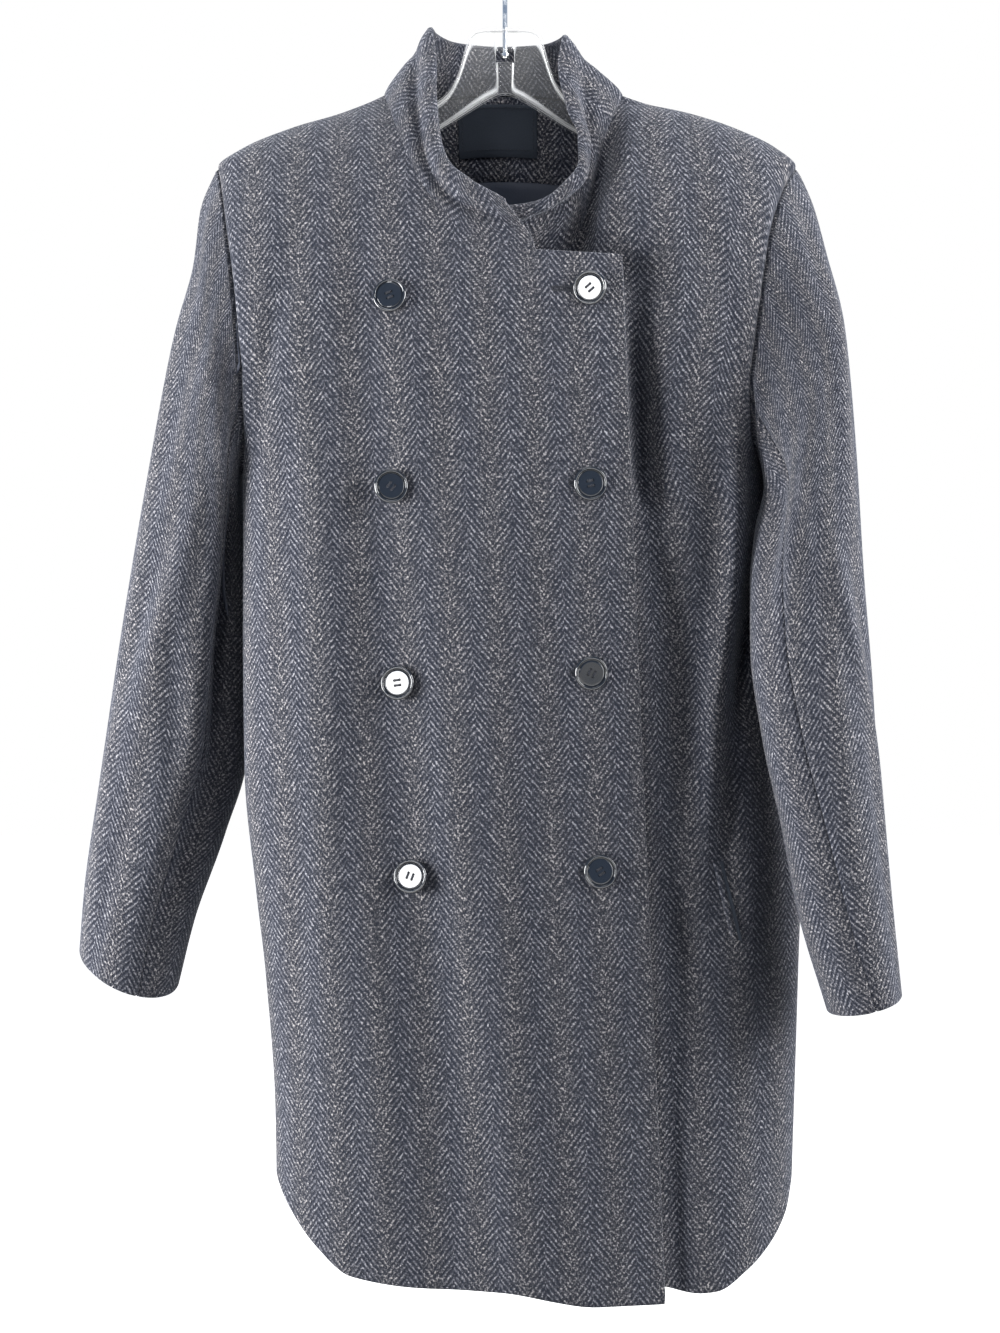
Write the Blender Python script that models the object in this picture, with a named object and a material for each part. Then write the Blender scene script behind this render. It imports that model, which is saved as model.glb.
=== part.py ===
"""Double-breasted coat with a stand collar, on a clear plastic hanger.

Each cloth piece is a closed thin wall at real size, in metres. +Z is up, the front faces -Y and
+X is the wearer's left. The origin is under the bend of the hook, where a rail carries it.
Widths in the cloth tables are measured from the coat's own middle line.
"""

import math
from typing import NamedTuple

import bmesh
import bpy
import numpy as np
from mathutils import Matrix, Vector
from mathutils.bvhtree import BVHTree

# Cloth and seams
CLOTH = 0.003
COLLAR_CLOTH = 0.005
FACING_CLOTH = 0.0015
LINING_CLOTH = 0.001
LABEL_CLOTH = 0.0008
POCKET_CLOTH = 0.0015
SEAM = 0.0003
COAT_OFF_HOOK = -0.004

# Strips that each piece is divided into
ARMHOLE_ROWS = 10
SIDE_ROWS = 12
LAP_COLUMNS = 4
NECK_COLUMNS = 6
SHOULDER_COLUMNS = 7
BACK_NECK_COLUMNS = 8
COLLAR_ROWS = 4
SLEEVE_RINGS = 13
RIDGE_STEPS = 60

# Body levels
NECK_POINT_Z = -0.1078
SHOULDER_Z = -0.1685
UNDERARM_Z = -0.4180
SIDE_HEM_Z = -0.9870
BACK_POWER = 2.4


class BodyRow(NamedTuple):
    """One level of the body: half widths, depths from the shoulder line, roundness of the sides."""

    z: float
    right: float
    left: float
    front: float
    back: float
    right_power: float
    left_power: float


BODY = (
    BodyRow(-0.0850, 0.0420, 0.0450, 0.004, 0.052, 2.4, 2.4),
    BodyRow(-0.0950, 0.0680, 0.0720, 0.006, 0.054, 2.4, 2.4),
    BodyRow(NECK_POINT_Z, 0.0951, 0.1005, 0.012, 0.056, 2.4, 2.4),
    BodyRow(-0.1242, 0.1337, 0.1600, 0.026, 0.058, 2.4, 2.4),
    BodyRow(-0.1357, 0.1714, 0.1927, 0.034, 0.059, 2.4, 2.4),
    BodyRow(-0.1521, 0.2107, 0.2263, 0.043, 0.061, 2.4, 2.4),
    BodyRow(SHOULDER_Z, 0.2321, 0.2435, 0.050, 0.063, 2.4, 2.4),
    BodyRow(-0.2000, 0.2345, 0.2455, 0.060, 0.065, 2.4, 2.4),
    BodyRow(-0.2500, 0.2350, 0.2430, 0.068, 0.067, 2.4, 2.4),
    BodyRow(-0.3000, 0.2320, 0.2370, 0.072, 0.068, 2.4, 2.3),
    BodyRow(-0.3600, 0.2250, 0.2280, 0.073, 0.067, 2.4, 2.0),
    BodyRow(UNDERARM_Z, 0.2103, 0.2160, 0.073, 0.066, 2.4, 1.8),
    BodyRow(-0.5500, 0.2103, 0.2190, 0.073, 0.066, 2.4, 1.7),
    BodyRow(-0.6600, 0.2090, 0.2340, 0.073, 0.066, 2.4, 1.7),
    BodyRow(-0.7600, 0.1993, 0.2465, 0.073, 0.066, 2.4, 1.8),
    BodyRow(-0.8245, 0.1919, 0.2445, 0.073, 0.066, 2.4, 2.0),
    BodyRow(-0.9400, 0.1837, 0.2405, 0.074, 0.068, 2.4, 2.2),
    BodyRow(-1.0800, 0.1820, 0.2360, 0.075, 0.070, 2.4, 2.2),
)


class ArmholeRow(NamedTuple):
    """One level of the armhole seams, as seen from the front."""

    z: float
    right: float
    left: float


ARMHOLES = (
    ArmholeRow(SHOULDER_Z, 0.2321, 0.2435),
    ArmholeRow(-0.1870, 0.2270, 0.2310),
    ArmholeRow(-0.2265, 0.2206, 0.2170),
    ArmholeRow(-0.2600, 0.2155, 0.2115),
    ArmholeRow(-0.3150, 0.2105, 0.2040),
    ArmholeRow(-0.3520, 0.2080, 0.2000),
    ArmholeRow(-0.3900, 0.2080, 0.2030),
    ArmholeRow(UNDERARM_Z, 0.2103, 0.2160),
)


class Spot(NamedTuple):
    """A place on a panel, as seen from the front."""

    x: float
    z: float


RIGHT_NECK = (
    Spot(-0.0951, NECK_POINT_Z),
    Spot(-0.0757, -0.1634),
    Spot(-0.0550, -0.2036),
    Spot(-0.0234, -0.2345),
    Spot(0.0258, -0.2479),
)
LEFT_NECK = (
    Spot(0.1005, NECK_POINT_Z),
    Spot(0.0940, -0.1500),
    Spot(0.0840, -0.1900),
    Spot(0.0700, -0.2250),
    Spot(0.0460, -0.2470),
    Spot(0.0000, -0.2560),
    Spot(-0.0258, -0.2570),
)
BACK_NECK_RISE = 0.0128

LAP_CORNER = Spot(0.0950, -0.2515)
LAP_FOOT = Spot(0.1295, -1.0776)
UNDERLAP_CORNER = Spot(-0.0780, -0.2590)
UNDERLAP_FOOT = Spot(-0.0760, -1.0600)
UNDERLAP_INSET = 0.0062
UNDERLAP_FADE = (0.105, 0.190)

RIGHT_HEM = (
    Spot(-0.1829, SIDE_HEM_Z),
    Spot(-0.1690, -1.0095),
    Spot(-0.1460, -1.0360),
    Spot(-0.1180, -1.0560),
    Spot(-0.0550, -1.0635),
    Spot(0.0040, -1.0650),
    Spot(0.0785, -1.0776),
    Spot(0.1295, -1.0776),
)
LEFT_HEM = (
    Spot(-0.0760, -1.0600),
    Spot(0.1285, -1.0650),
    Spot(0.1490, -1.0706),
    Spot(0.1720, -1.0690),
    Spot(0.1950, -1.0560),
    Spot(0.2120, -1.0425),
    Spot(0.2310, -1.0170),
    Spot(0.2394, SIDE_HEM_Z),
)
BACK_HEM = (
    Spot(-0.1829, SIDE_HEM_Z),
    Spot(-0.1667, -1.0095),
    Spot(-0.1420, -1.0340),
    Spot(-0.1100, -1.0500),
    Spot(0.0200, -1.0560),
    Spot(0.1600, -1.0530),
    Spot(0.1950, -1.0400),
    Spot(0.2250, -1.0130),
    Spot(0.2394, SIDE_HEM_Z),
)


class FoldRow(NamedTuple):
    """One level of a long fold: where its crest is, how wide and how far out (or in) it stands."""

    z: float
    x: float
    half_width: float
    rise: float


RIGHT_FOLDS = (
    (
        FoldRow(-0.170, -0.117, 0.016, 0.000),
        FoldRow(-0.300, -0.110, 0.020, -0.004),
        FoldRow(-0.520, -0.092, 0.026, -0.007),
        FoldRow(-0.680, -0.082, 0.028, -0.008),
        FoldRow(-0.800, -0.060, 0.028, -0.008),
        FoldRow(-0.950, -0.042, 0.026, -0.006),
        FoldRow(-1.080, -0.036, 0.026, -0.003),
    ),
    (
        FoldRow(-0.360, -0.150, 0.020, 0.000),
        FoldRow(-0.500, -0.146, 0.025, 0.005),
        FoldRow(-0.750, -0.136, 0.026, 0.006),
        FoldRow(-0.950, -0.125, 0.028, 0.003),
        FoldRow(-1.080, -0.120, 0.028, 0.002),
    ),
    (
        FoldRow(-0.400, -0.020, 0.030, 0.000),
        FoldRow(-0.650, -0.012, 0.034, 0.004),
        FoldRow(-0.900, 0.008, 0.036, 0.005),
        FoldRow(-1.080, 0.025, 0.040, 0.006),
    ),
)
LEFT_FOLDS = (
    (
        FoldRow(-0.240, 0.114, 0.016, -0.004),
        FoldRow(-0.340, 0.119, 0.018, -0.011),
        FoldRow(-0.420, 0.123, 0.020, -0.012),
        FoldRow(-0.520, 0.136, 0.022, -0.012),
        FoldRow(-0.620, 0.147, 0.022, -0.010),
        FoldRow(-0.700, 0.150, 0.020, -0.005),
        FoldRow(-0.780, 0.152, 0.020, 0.000),
    ),
    (
        FoldRow(-0.280, 0.188, 0.020, 0.000),
        FoldRow(-0.400, 0.178, 0.020, 0.010),
        FoldRow(-0.480, 0.173, 0.019, 0.014),
        FoldRow(-0.560, 0.168, 0.018, 0.014),
        FoldRow(-0.660, 0.165, 0.020, 0.009),
        FoldRow(-0.760, 0.165, 0.020, 0.000),
    ),
    (
        FoldRow(-0.720, 0.130, 0.018, 0.000),
        FoldRow(-0.790, 0.138, 0.020, -0.006),
        FoldRow(-0.870, 0.142, 0.020, 0.000),
    ),
    (
        FoldRow(-0.850, 0.190, 0.030, 0.000),
        FoldRow(-1.000, 0.185, 0.034, 0.007),
        FoldRow(-1.080, 0.180, 0.036, 0.007),
    ),
)
BACK_FOLDS = (
    (
        FoldRow(-0.300, 0.010, 0.040, 0.000),
        FoldRow(-0.600, 0.012, 0.050, -0.007),
        FoldRow(-0.900, 0.018, 0.050, -0.009),
        FoldRow(-1.080, 0.020, 0.050, -0.009),
    ),
    (
        FoldRow(-0.350, -0.100, 0.030, 0.000),
        FoldRow(-0.650, -0.095, 0.035, 0.006),
        FoldRow(-1.080, -0.090, 0.040, 0.006),
    ),
    (
        FoldRow(-0.350, 0.120, 0.030, 0.000),
        FoldRow(-0.700, 0.125, 0.035, 0.007),
        FoldRow(-1.080, 0.130, 0.040, 0.006),
    ),
)
FRONT_FOLDS = {"right": RIGHT_FOLDS, "left": RIGHT_FOLDS + LEFT_FOLDS}
FOLD_SEAM_FADE = 0.6
ARMHOLE_BEND_POWER = 4
PROBE = 0.0001


class CollarRow(NamedTuple):
    """A place on the collar's top edge, from its right front end round the back to its left end."""

    along: float
    x: float
    y: float
    z: float
    swell: float


COLLAR_EDGE = (
    CollarRow(0.00, 0.0010, -0.0715, -0.2076, 0.000),
    CollarRow(0.06, -0.0234, -0.0690, -0.1940, 0.001),
    CollarRow(0.12, -0.0500, -0.0600, -0.1780, 0.003),
    CollarRow(0.17, -0.0615, -0.0470, -0.1550, 0.004),
    CollarRow(0.22, -0.0660, -0.0320, -0.1180, 0.004),
    CollarRow(0.27, -0.0640, -0.0140, -0.0800, 0.001),
    CollarRow(0.30, -0.0590, 0.0040, -0.0515, -0.002),
    CollarRow(0.40, -0.0400, 0.0450, -0.0530, 0.001),
    CollarRow(0.50, 0.0000, 0.0600, -0.0530, 0.001),
    CollarRow(0.60, 0.0380, 0.0450, -0.0545, 0.001),
    CollarRow(0.70, 0.0550, 0.0040, -0.0575, -0.004),
    CollarRow(0.73, 0.0570, -0.0140, -0.0850, 0.000),
    CollarRow(0.78, 0.0610, -0.0320, -0.1240, 0.003),
    CollarRow(0.83, 0.0660, -0.0460, -0.1520, 0.002),
    CollarRow(0.88, 0.0660, -0.0540, -0.1750, 0.001),
    CollarRow(0.93, 0.0520, -0.0580, -0.1950, 0.000),
    CollarRow(0.97, 0.0280, -0.0590, -0.2090, 0.000),
    CollarRow(1.00, -0.0150, -0.0590, -0.2150, 0.000),
)
COLLAR_FRONT_SHARE = 0.30
COLLAR_FOOT_TILT = 0.5


class SleeveRow(NamedTuple):
    """One cross-section of a sleeve: its outer and inner lines, depth, twist and front drop."""

    outer_x: float
    outer_z: float
    inner_x: float
    inner_z: float
    mid_y: float
    half_depth: float
    turn: float
    droop: float


RIGHT_SLEEVE = (
    SleeveRow(-0.2321, SHOULDER_Z, -0.2103, UNDERARM_Z, 0.000, 0.036, 0.0, 0.000),
    SleeveRow(-0.2455, -0.2013, -0.2122, -0.4300, 0.002, 0.046, 0.0, 0.000),
    SleeveRow(-0.2510, -0.2450, -0.2130, -0.4450, 0.006, 0.052, 0.0, 0.000),
    SleeveRow(-0.2670, -0.2997, -0.2125, -0.4650, 0.016, 0.055, 0.0, 0.000),
    SleeveRow(-0.2890, -0.3981, -0.2105, -0.5100, 0.026, 0.055, 0.0, 0.000),
    SleeveRow(-0.3070, -0.4965, -0.2100, -0.5750, 0.030, 0.054, 0.0, 0.000),
    SleeveRow(-0.3225, -0.5949, -0.2115, -0.6500, 0.030, 0.051, -4.0, 0.002),
    SleeveRow(-0.3340, -0.6769, -0.2290, -0.7150, 0.026, 0.048, -8.0, 0.004),
    SleeveRow(-0.3440, -0.7589, -0.2530, -0.7850, 0.018, 0.045, -12.0, 0.009),
    SleeveRow(-0.3465, -0.8050, -0.2655, -0.8380, 0.012, 0.044, -14.0, 0.014),
)
LEFT_SLEEVE = (
    SleeveRow(0.2435, SHOULDER_Z, 0.2160, UNDERARM_Z, 0.000, 0.044, 0.0, 0.000),
    SleeveRow(0.2560, -0.2013, 0.2150, -0.4300, -0.006, 0.050, 0.0, 0.000),
    SleeveRow(0.2650, -0.2450, 0.2105, -0.4450, -0.019, 0.053, 0.0, 0.000),
    SleeveRow(0.2755, -0.2997, 0.2050, -0.4650, -0.034, 0.053, 0.0, 0.000),
    SleeveRow(0.2825, -0.4008, 0.1990, -0.5100, -0.050, 0.051, 0.0, 0.002),
    SleeveRow(0.2865, -0.4984, 0.1980, -0.5650, -0.062, 0.048, -4.0, 0.005),
    SleeveRow(0.2935, -0.5943, 0.2060, -0.6320, -0.070, 0.046, -10.0, 0.008),
    SleeveRow(0.3000, -0.6734, 0.2205, -0.7000, -0.072, 0.043, -20.0, 0.012),
    SleeveRow(0.3070, -0.7524, 0.2320, -0.7650, -0.072, 0.041, -31.0, 0.016),
    SleeveRow(0.3150, -0.8340, 0.2405, -0.8200, -0.071, 0.040, -40.0, 0.018),
)
SLEEVE_BLEND_ROWS = 3.0
SLEEVE_CLEARANCE = 0.0025
SLEEVE_SEAM_SIDE = 0.0003
SLEEVE_FRONT_SEAM = 7
SLEEVE_BACK_SEAM = 14

# What lies inside the back of the neck
FACING_FOOT_Z = -0.1610
LINING_FOOT_Z = -0.2600
LABEL_FROM = Spot(-0.0370, -0.0990)
LABEL_TO = Spot(0.0310, -0.1390)
LABEL_CELLS = (6, 4)

# Pocket edge on the left front
POCKET_TOP = Spot(0.1748, -0.7310)
POCKET_FOOT = Spot(0.1900, -0.7940)
POCKET_WIDTH = 0.006
POCKET_STEPS = 8
POCKET_LIFT = 0.0009

# Buttons: places on the right front, and the turned outline as radius and height
BUTTON_SEGMENTS = 16
BUTTON_PROBES = 12
BUTTON_LIFT = 0.0005
OUTER_BUTTONS = (
    Spot(-0.0864, -0.2840),
    Spot(-0.0848, -0.4339),
    Spot(-0.0801, -0.5886),
    Spot(-0.0699, -0.7409),
)
EDGE_BUTTONS = (
    Spot(0.0707, -0.2785),
    Spot(0.0707, -0.4315),
    Spot(0.0714, -0.5807),
    Spot(0.0785, -0.7369),
)


class TurnPoint(NamedTuple):
    """A place on a turned outline."""

    radius: float
    height: float


BUTTON_OUTLINE = (
    TurnPoint(0.0105, 0.0000),
    TurnPoint(0.0135, 0.0018),
    TurnPoint(0.0128, 0.0040),
    TurnPoint(0.0112, 0.0043),
    TurnPoint(0.0100, 0.0030),
    TurnPoint(0.0050, 0.0026),
)


class HangerRow(NamedTuple):
    """One section of the hanger's half: its top and low places and the thickness of its web."""

    top_reach: float
    top_z: float
    low_reach: float
    low_z: float
    web: float


HANGER_HEAD = (
    HangerRow(0.0000, -0.0520, 0.0000, -0.1070, 0.012),
    HangerRow(0.0060, -0.0520, 0.0040, -0.1075, 0.012),
    HangerRow(0.0075, -0.0520, 0.0055, -0.1080, 0.0025),
    HangerRow(0.0230, -0.0520, 0.0110, -0.1105, 0.0025),
    HangerRow(0.0300, -0.0570, 0.0190, -0.1150, 0.0025),
    HangerRow(0.0355, -0.0780, 0.0300, -0.1220, 0.0025),
    HangerRow(0.0410, -0.0970, 0.0420, -0.1295, 0.0025),
    HangerRow(0.0520, -0.1115, 0.0580, -0.1395, 0.0025),
    HangerRow(0.0760, -0.1180, 0.0820, -0.1500, 0.0025),
)
HANGER_ARM_REACHES = (0.105, 0.135, 0.165, 0.190, 0.212)
HANGER_ARM_WEB = 0.0025
HANGER_ARM_HEIGHTS = (0.034, 0.017)
HANGER_UNDER_RIDGE = 0.0042
HANGER_RIM = 0.0045
HANGER_RIM_HEIGHT = 0.005
HANGER_CROWN = (0.0010, 0.0034)

# Hook: a wire in the plane across the shoulders, rising from the hanger's head
HOOK_WIRE = 0.0019
HOOK_BEND = 0.0195
HOOK_STEM_Z = -0.0516
HOOK_ARC_FROM = -50.0
HOOK_ARC_TO = 205.0
HOOK_ARC_STEPS = 22
HOOK_STEM_STEPS = 8

# Finish of each kind of piece: colour, roughness, metallic
FINISHES = {
    "tweed": ((0.100, 0.104, 0.122), 0.90, 0.0),
    "lining": ((0.030, 0.035, 0.055), 0.45, 0.0),
    "label": ((0.015, 0.017, 0.024), 0.60, 0.0),
    "button": ((0.012, 0.013, 0.018), 0.18, 0.0),
    "clear_plastic": ((0.800, 0.820, 0.830), 0.08, 0.0),
    "hook_steel": ((0.550, 0.550, 0.540), 0.25, 1.0),
}


def through(knots, values, at):
    """Smooth curve through the values at rising knots, with no overshoot between them."""
    knots = np.asarray(knots, float)
    values = np.asarray(values, float)
    step = np.diff(knots)
    slope = np.diff(values) / step
    lean = np.concatenate((slope[:1], np.zeros(len(slope) - 1), slope[-1:]))
    product = slope[1:] * slope[:-1]
    total = np.where(product > 0, slope[1:] + slope[:-1], 1.0)
    lean[1:-1] = np.where(product > 0, 2 * product / total, 0.0)
    at = np.clip(at, knots[0], knots[-1])
    cell = np.clip(np.searchsorted(knots, at, side="right") - 1, 0, len(step) - 1)
    share = (at - knots[cell]) / step[cell]
    rest = 1 - share
    ends = values[cell] * (1 + 2 * share) * rest**2 + values[cell + 1] * (3 - 2 * share) * share**2
    leans = step[cell] * (lean[cell] * share * rest**2 - lean[cell + 1] * share**2 * rest)
    return ends + leans


def column(rows, name):
    """One named column of a table."""
    return np.array([getattr(row, name) for row in rows])


def level(rows, name, z):
    """A column of a table whose rows run downwards, at the given heights."""
    return through(-column(rows, "z"), column(rows, name), -np.asarray(z, float))


def smoothstep(value):
    """Soft step from 0 to 1."""
    value = np.clip(value, 0, 1)
    return value * value * (3 - 2 * value)


def depth(x, z, face):
    """How far a face stands from the shoulder line, where it is seen at x and z."""
    half = np.where(x < 0, level(BODY, "right", z), level(BODY, "left", z))
    power = BACK_POWER
    if face == "front":
        power = np.where(x < 0, level(BODY, "right_power", z), level(BODY, "left_power", z))
    share = np.clip(np.abs(x) / half, 0, 1)
    return level(BODY, face, z) * (1 - share**power) ** (1 / power)


def folds_at(folds, x, z):
    """How far the long folds push the cloth out."""
    push = np.zeros(np.shape(x))
    for rows in folds:
        off = (x - level(rows, "x", z)) / level(rows, "half_width", z)
        inside = (z <= rows[0].z) & (z >= rows[-1].z)
        push += np.where(inside, level(rows, "rise", z) * np.exp(-(off**2)), 0)
    return push


def face_y(x, z, face, folds, inset=0.0):
    """Y of a panel's outer face, with the folds fading out towards its seams."""
    stand = depth(x, z, face)
    fade = smoothstep(stand / (FOLD_SEAM_FADE * level(BODY, face, z)))
    out = np.maximum(stand + fade * (folds_at(folds, x, z) - inset), SEAM / 2)
    return -out if face == "front" else out


def line_points(spots, count):
    """Evenly spaced places along a smooth line through a few spots."""
    places = np.array(spots)
    run = np.concatenate(([0], np.cumsum(np.linalg.norm(np.diff(places, axis=0), axis=1))))
    at = np.linspace(0, run[-1], count + 1)
    return np.column_stack([through(run, places[:, axis], at) for axis in (0, 1)])


def shoulder_points(side, count=SHOULDER_COLUMNS):
    """Places along a shoulder seam from the neck outwards."""
    sign = -1 if side == "right" else 1
    z = np.linspace(NECK_POINT_Z, SHOULDER_Z, count + 1)
    return np.column_stack((sign * level(BODY, side, z), z))


def ridge_z(x):
    """Height of the shoulder seam at a distance from the middle line."""
    places = shoulder_points("right" if x < 0 else "left", RIDGE_STEPS)
    return float(np.interp(abs(x), np.abs(places[:, 0]), places[:, 1]))


def side_levels():
    """Heights of the rows where they meet the armhole and the side seam."""
    turn = np.linspace(0, math.pi, ARMHOLE_ROWS + 1)
    armhole = (SHOULDER_Z + UNDERARM_Z) / 2 + (SHOULDER_Z - UNDERARM_Z) / 2 * np.cos(turn)
    return np.concatenate((armhole, np.linspace(UNDERARM_Z, SIDE_HEM_Z, SIDE_ROWS + 1)[1:]))


def side_x(side, z):
    """Where the armhole or the side seam lies at each height."""
    sign = -1 if side == "right" else 1
    return sign * np.where(z > UNDERARM_Z, level(ARMHOLES, side, z), level(BODY, side, z))


class Panel(NamedTuple):
    """Rows and columns of places on a panel's outer face, with the directions square to it."""

    places: np.ndarray
    normals: np.ndarray


def panel(top, first_x, last_x, hem, face, folds, inset):
    """A panel from its top seams down to its hem; its columns bend in only near the armholes."""
    levels = side_levels()
    fall = ((levels - levels[0]) / (levels[-1] - levels[0]))[:, None]
    share = (top[:, 0] - top[0, 0]) / (top[-1, 0] - top[0, 0])
    x = first_x[0] + (first_x[-1] - first_x[0]) * fall
    x = x + (last_x[0] + (last_x[-1] - last_x[0]) * fall - x) * share
    for edge_x, near in ((first_x, 1 - share), (last_x, share)):
        bend = edge_x - (edge_x[0] + (edge_x[-1] - edge_x[0]) * fall[:, 0])
        x = x + bend[:, None] * near**ARMHOLE_BEND_POWER
    hem_z = through(column(hem, "x"), column(hem, "z"), x[-1])
    z = top[:, 1] + (hem_z - top[:, 1]) * fall

    def surface(at_x, at_z):
        return face_y(at_x, at_z, face, folds, inset(at_x))

    lean_x = (surface(x + PROBE, z) - surface(x - PROBE, z)) / (2 * PROBE)
    lean_z = (surface(x, z + PROBE) - surface(x, z - PROBE)) / (2 * PROBE)
    normals = np.stack((-lean_x, np.ones_like(x), -lean_z), axis=2)
    normals /= np.linalg.norm(normals, axis=2, keepdims=True) * (-1 if face == "front" else 1)
    return Panel(np.stack((x + COAT_OFF_HOOK, surface(x, z), z), axis=2), normals)


def straight(corner, foot):
    """X of a straight front edge at each row."""
    levels = side_levels()
    fall = (levels - levels[0]) / (levels[-1] - levels[0])
    return corner.x + (foot.x - corner.x) * fall


def front_panel(side):
    """The right front with its lap, or the left front with the part that runs under it."""
    right = side == "right"
    neck = RIGHT_NECK if right else LEFT_NECK
    corner = LAP_CORNER if right else UNDERLAP_CORNER
    foot = LAP_FOOT if right else UNDERLAP_FOOT
    lap = line_points((corner, neck[-1]), LAP_COLUMNS)
    top = np.vstack((lap, line_points(neck, NECK_COLUMNS)[::-1][1:], shoulder_points(side)[1:]))
    hem = RIGHT_HEM if right else LEFT_HEM
    inset = no_inset if right else underlap_inset
    ends = straight(corner, foot), side_x(side, side_levels())
    return panel(top, *ends, hem, "front", FRONT_FOLDS[side], inset)


def no_inset(x):
    """A panel that nothing lies over."""
    return np.zeros_like(x)


def underlap_inset(x):
    """How far the left front lies back under the lap."""
    start, end = UNDERLAP_FADE
    return UNDERLAP_INSET * (1 - smoothstep((x - start) / (end - start)))


def back_panel():
    """The back, from the right armhole round to the left one."""
    right = shoulder_points("right")[::-1]
    left = shoulder_points("left")
    span = np.linspace(right[-1, 0], left[0, 0], BACK_NECK_COLUMNS + 1)[1:-1]
    bend = 1 - (span / np.where(span < 0, right[-1, 0], left[0, 0])) ** 2
    neck = np.column_stack((span, NECK_POINT_Z + BACK_NECK_RISE * bend))
    top = np.vstack((right, neck, left))
    levels = side_levels()
    sides = side_x("right", levels), side_x("left", levels)
    return panel(top, *sides, BACK_HEM, "back", BACK_FOLDS, no_inset)


def normals_of(grid, outward):
    """Unit normals of a grid of places, on the side that the outward hint points to."""
    across = np.gradient(grid, axis=1)
    down = np.gradient(grid, axis=0)
    normal = np.cross(across, down)
    normal /= np.linalg.norm(normal, axis=2, keepdims=True)
    return normal if np.sum(normal * outward) > 0 else -normal


def new_object(name, finish, vertices, faces):
    """A named object with its own material, and faces that point out."""
    mesh = bpy.data.meshes.new(name)
    mesh.from_pydata([tuple(map(float, place)) for place in vertices], [], faces)
    shell = bmesh.new()
    shell.from_mesh(mesh)
    bmesh.ops.recalc_face_normals(shell, faces=shell.faces)
    shell.to_mesh(mesh)
    shell.free()
    mesh.shade_smooth()
    mesh.set_sharp_from_angle(angle=math.radians(40))
    thing = bpy.data.objects.new(name, mesh)
    bpy.context.collection.objects.link(thing)
    dress(thing, finish)
    return thing


def dress(thing, finish):
    """Give an object its material and hang it from the hook's empty."""
    colour, roughness, metallic = FINISHES[finish]
    material = bpy.data.materials.new(thing.name)
    material.use_nodes = True
    shader = material.node_tree.nodes["Principled BSDF"]
    shader.inputs["Base Color"].default_value = (*colour, 1.0)
    shader.inputs["Roughness"].default_value = roughness
    shader.inputs["Metallic"].default_value = metallic
    thing.data.materials.append(material)
    thing.parent = bpy.data.objects[HANG_POINT]


def wall(name, finish, outer, inner):
    """A closed wall between two grids of places."""
    rows, columns = outer.shape[:2]
    vertices = np.concatenate((outer.reshape(-1, 3), inner.reshape(-1, 3)))
    back = rows * columns
    faces = []
    for row in range(rows - 1):
        for col in range(columns - 1):
            corner = row * columns + col
            across = corner + columns + 1
            for half in ((corner, corner + 1, across), (corner, across, corner + columns)):
                faces.append(half)
                faces.append(tuple(back + index for index in reversed(half)))
    rim = [col for col in range(columns)]
    rim += [row * columns + columns - 1 for row in range(1, rows)]
    rim += [(rows - 1) * columns + col for col in range(columns - 2, -1, -1)]
    rim += [row * columns for row in range(rows - 2, 0, -1)]
    for start, end in zip(rim, rim[1:] + rim[:1]):
        if start < end:
            faces += [(end, start, back + start), (end, back + start, back + end)]
        else:
            faces += [(end, start, back + end), (start, back + start, back + end)]
    return new_object(name, finish, vertices, faces)


def panel_wall(name, cloth, face):
    """A front or the back, kept on its own side of the shoulder and side seams."""
    sign = -1 if face == "front" else 1
    inner = cloth.places - CLOTH * cloth.normals
    inner[..., 1] = sign * np.maximum(sign * inner[..., 1], SEAM / 2)
    return wall(name, "tweed", cloth.places, inner)


def collar_base(right, back, left):
    """Neck seam places from the right front's collar end round the back to the left one."""
    start, end = LAP_COLUMNS, LAP_COLUMNS + NECK_COLUMNS
    back_start = SHOULDER_COLUMNS
    back_end = SHOULDER_COLUMNS + BACK_NECK_COLUMNS
    fronts = [front.places[0, start : end + 1] for front in (right, left)]
    middle = back.places[0, back_start + 1 : back_end]
    return np.vstack((fronts[0], middle, fronts[1][::-1]))


def collar_grid(base):
    """Rows of the stand collar from the neck seam up to its top edge."""
    front = np.linspace(0, COLLAR_FRONT_SHARE, NECK_COLUMNS + 1)
    middle = np.linspace(COLLAR_FRONT_SHARE, 1 - COLLAR_FRONT_SHARE, BACK_NECK_COLUMNS + 1)[1:-1]
    along = np.concatenate((front, middle, 1 - front[::-1]))
    knots = column(COLLAR_EDGE, "along")
    edge = np.column_stack([through(knots, column(COLLAR_EDGE, axis), along) for axis in "xyz"])
    edge[:, 0] += COAT_OFF_HOOK
    rise = edge - base
    foot = base + rise * (SEAM / np.linalg.norm(rise, axis=1, keepdims=True))
    share = np.linspace(0, 1, COLLAR_ROWS + 1)[:, None, None]
    grid = foot + (edge - foot) * share
    swell = through(knots, column(COLLAR_EDGE, "swell"), along)[:, None]
    return grid + normals_of(grid, away_from_neck(grid)) * swell * np.sin(math.pi * share)


def away_from_neck(grid):
    """Directions from the middle of the neck outwards."""
    middle = np.array((COAT_OFF_HOOK, 0.0, 0.0))
    return (grid - middle) * np.array((1, 1, 0))


def collar_wall(grid):
    """The stand collar, its foot tilted up on the inside so that it stands on the neck seam."""
    shift = normals_of(grid, away_from_neck(grid))
    shift[0, :, 2] = -COLLAR_FOOT_TILT
    shift[0] /= np.linalg.norm(shift[0], axis=1, keepdims=True)
    return wall("collar", "tweed", grid, grid - COLLAR_CLOTH * shift)


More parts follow.
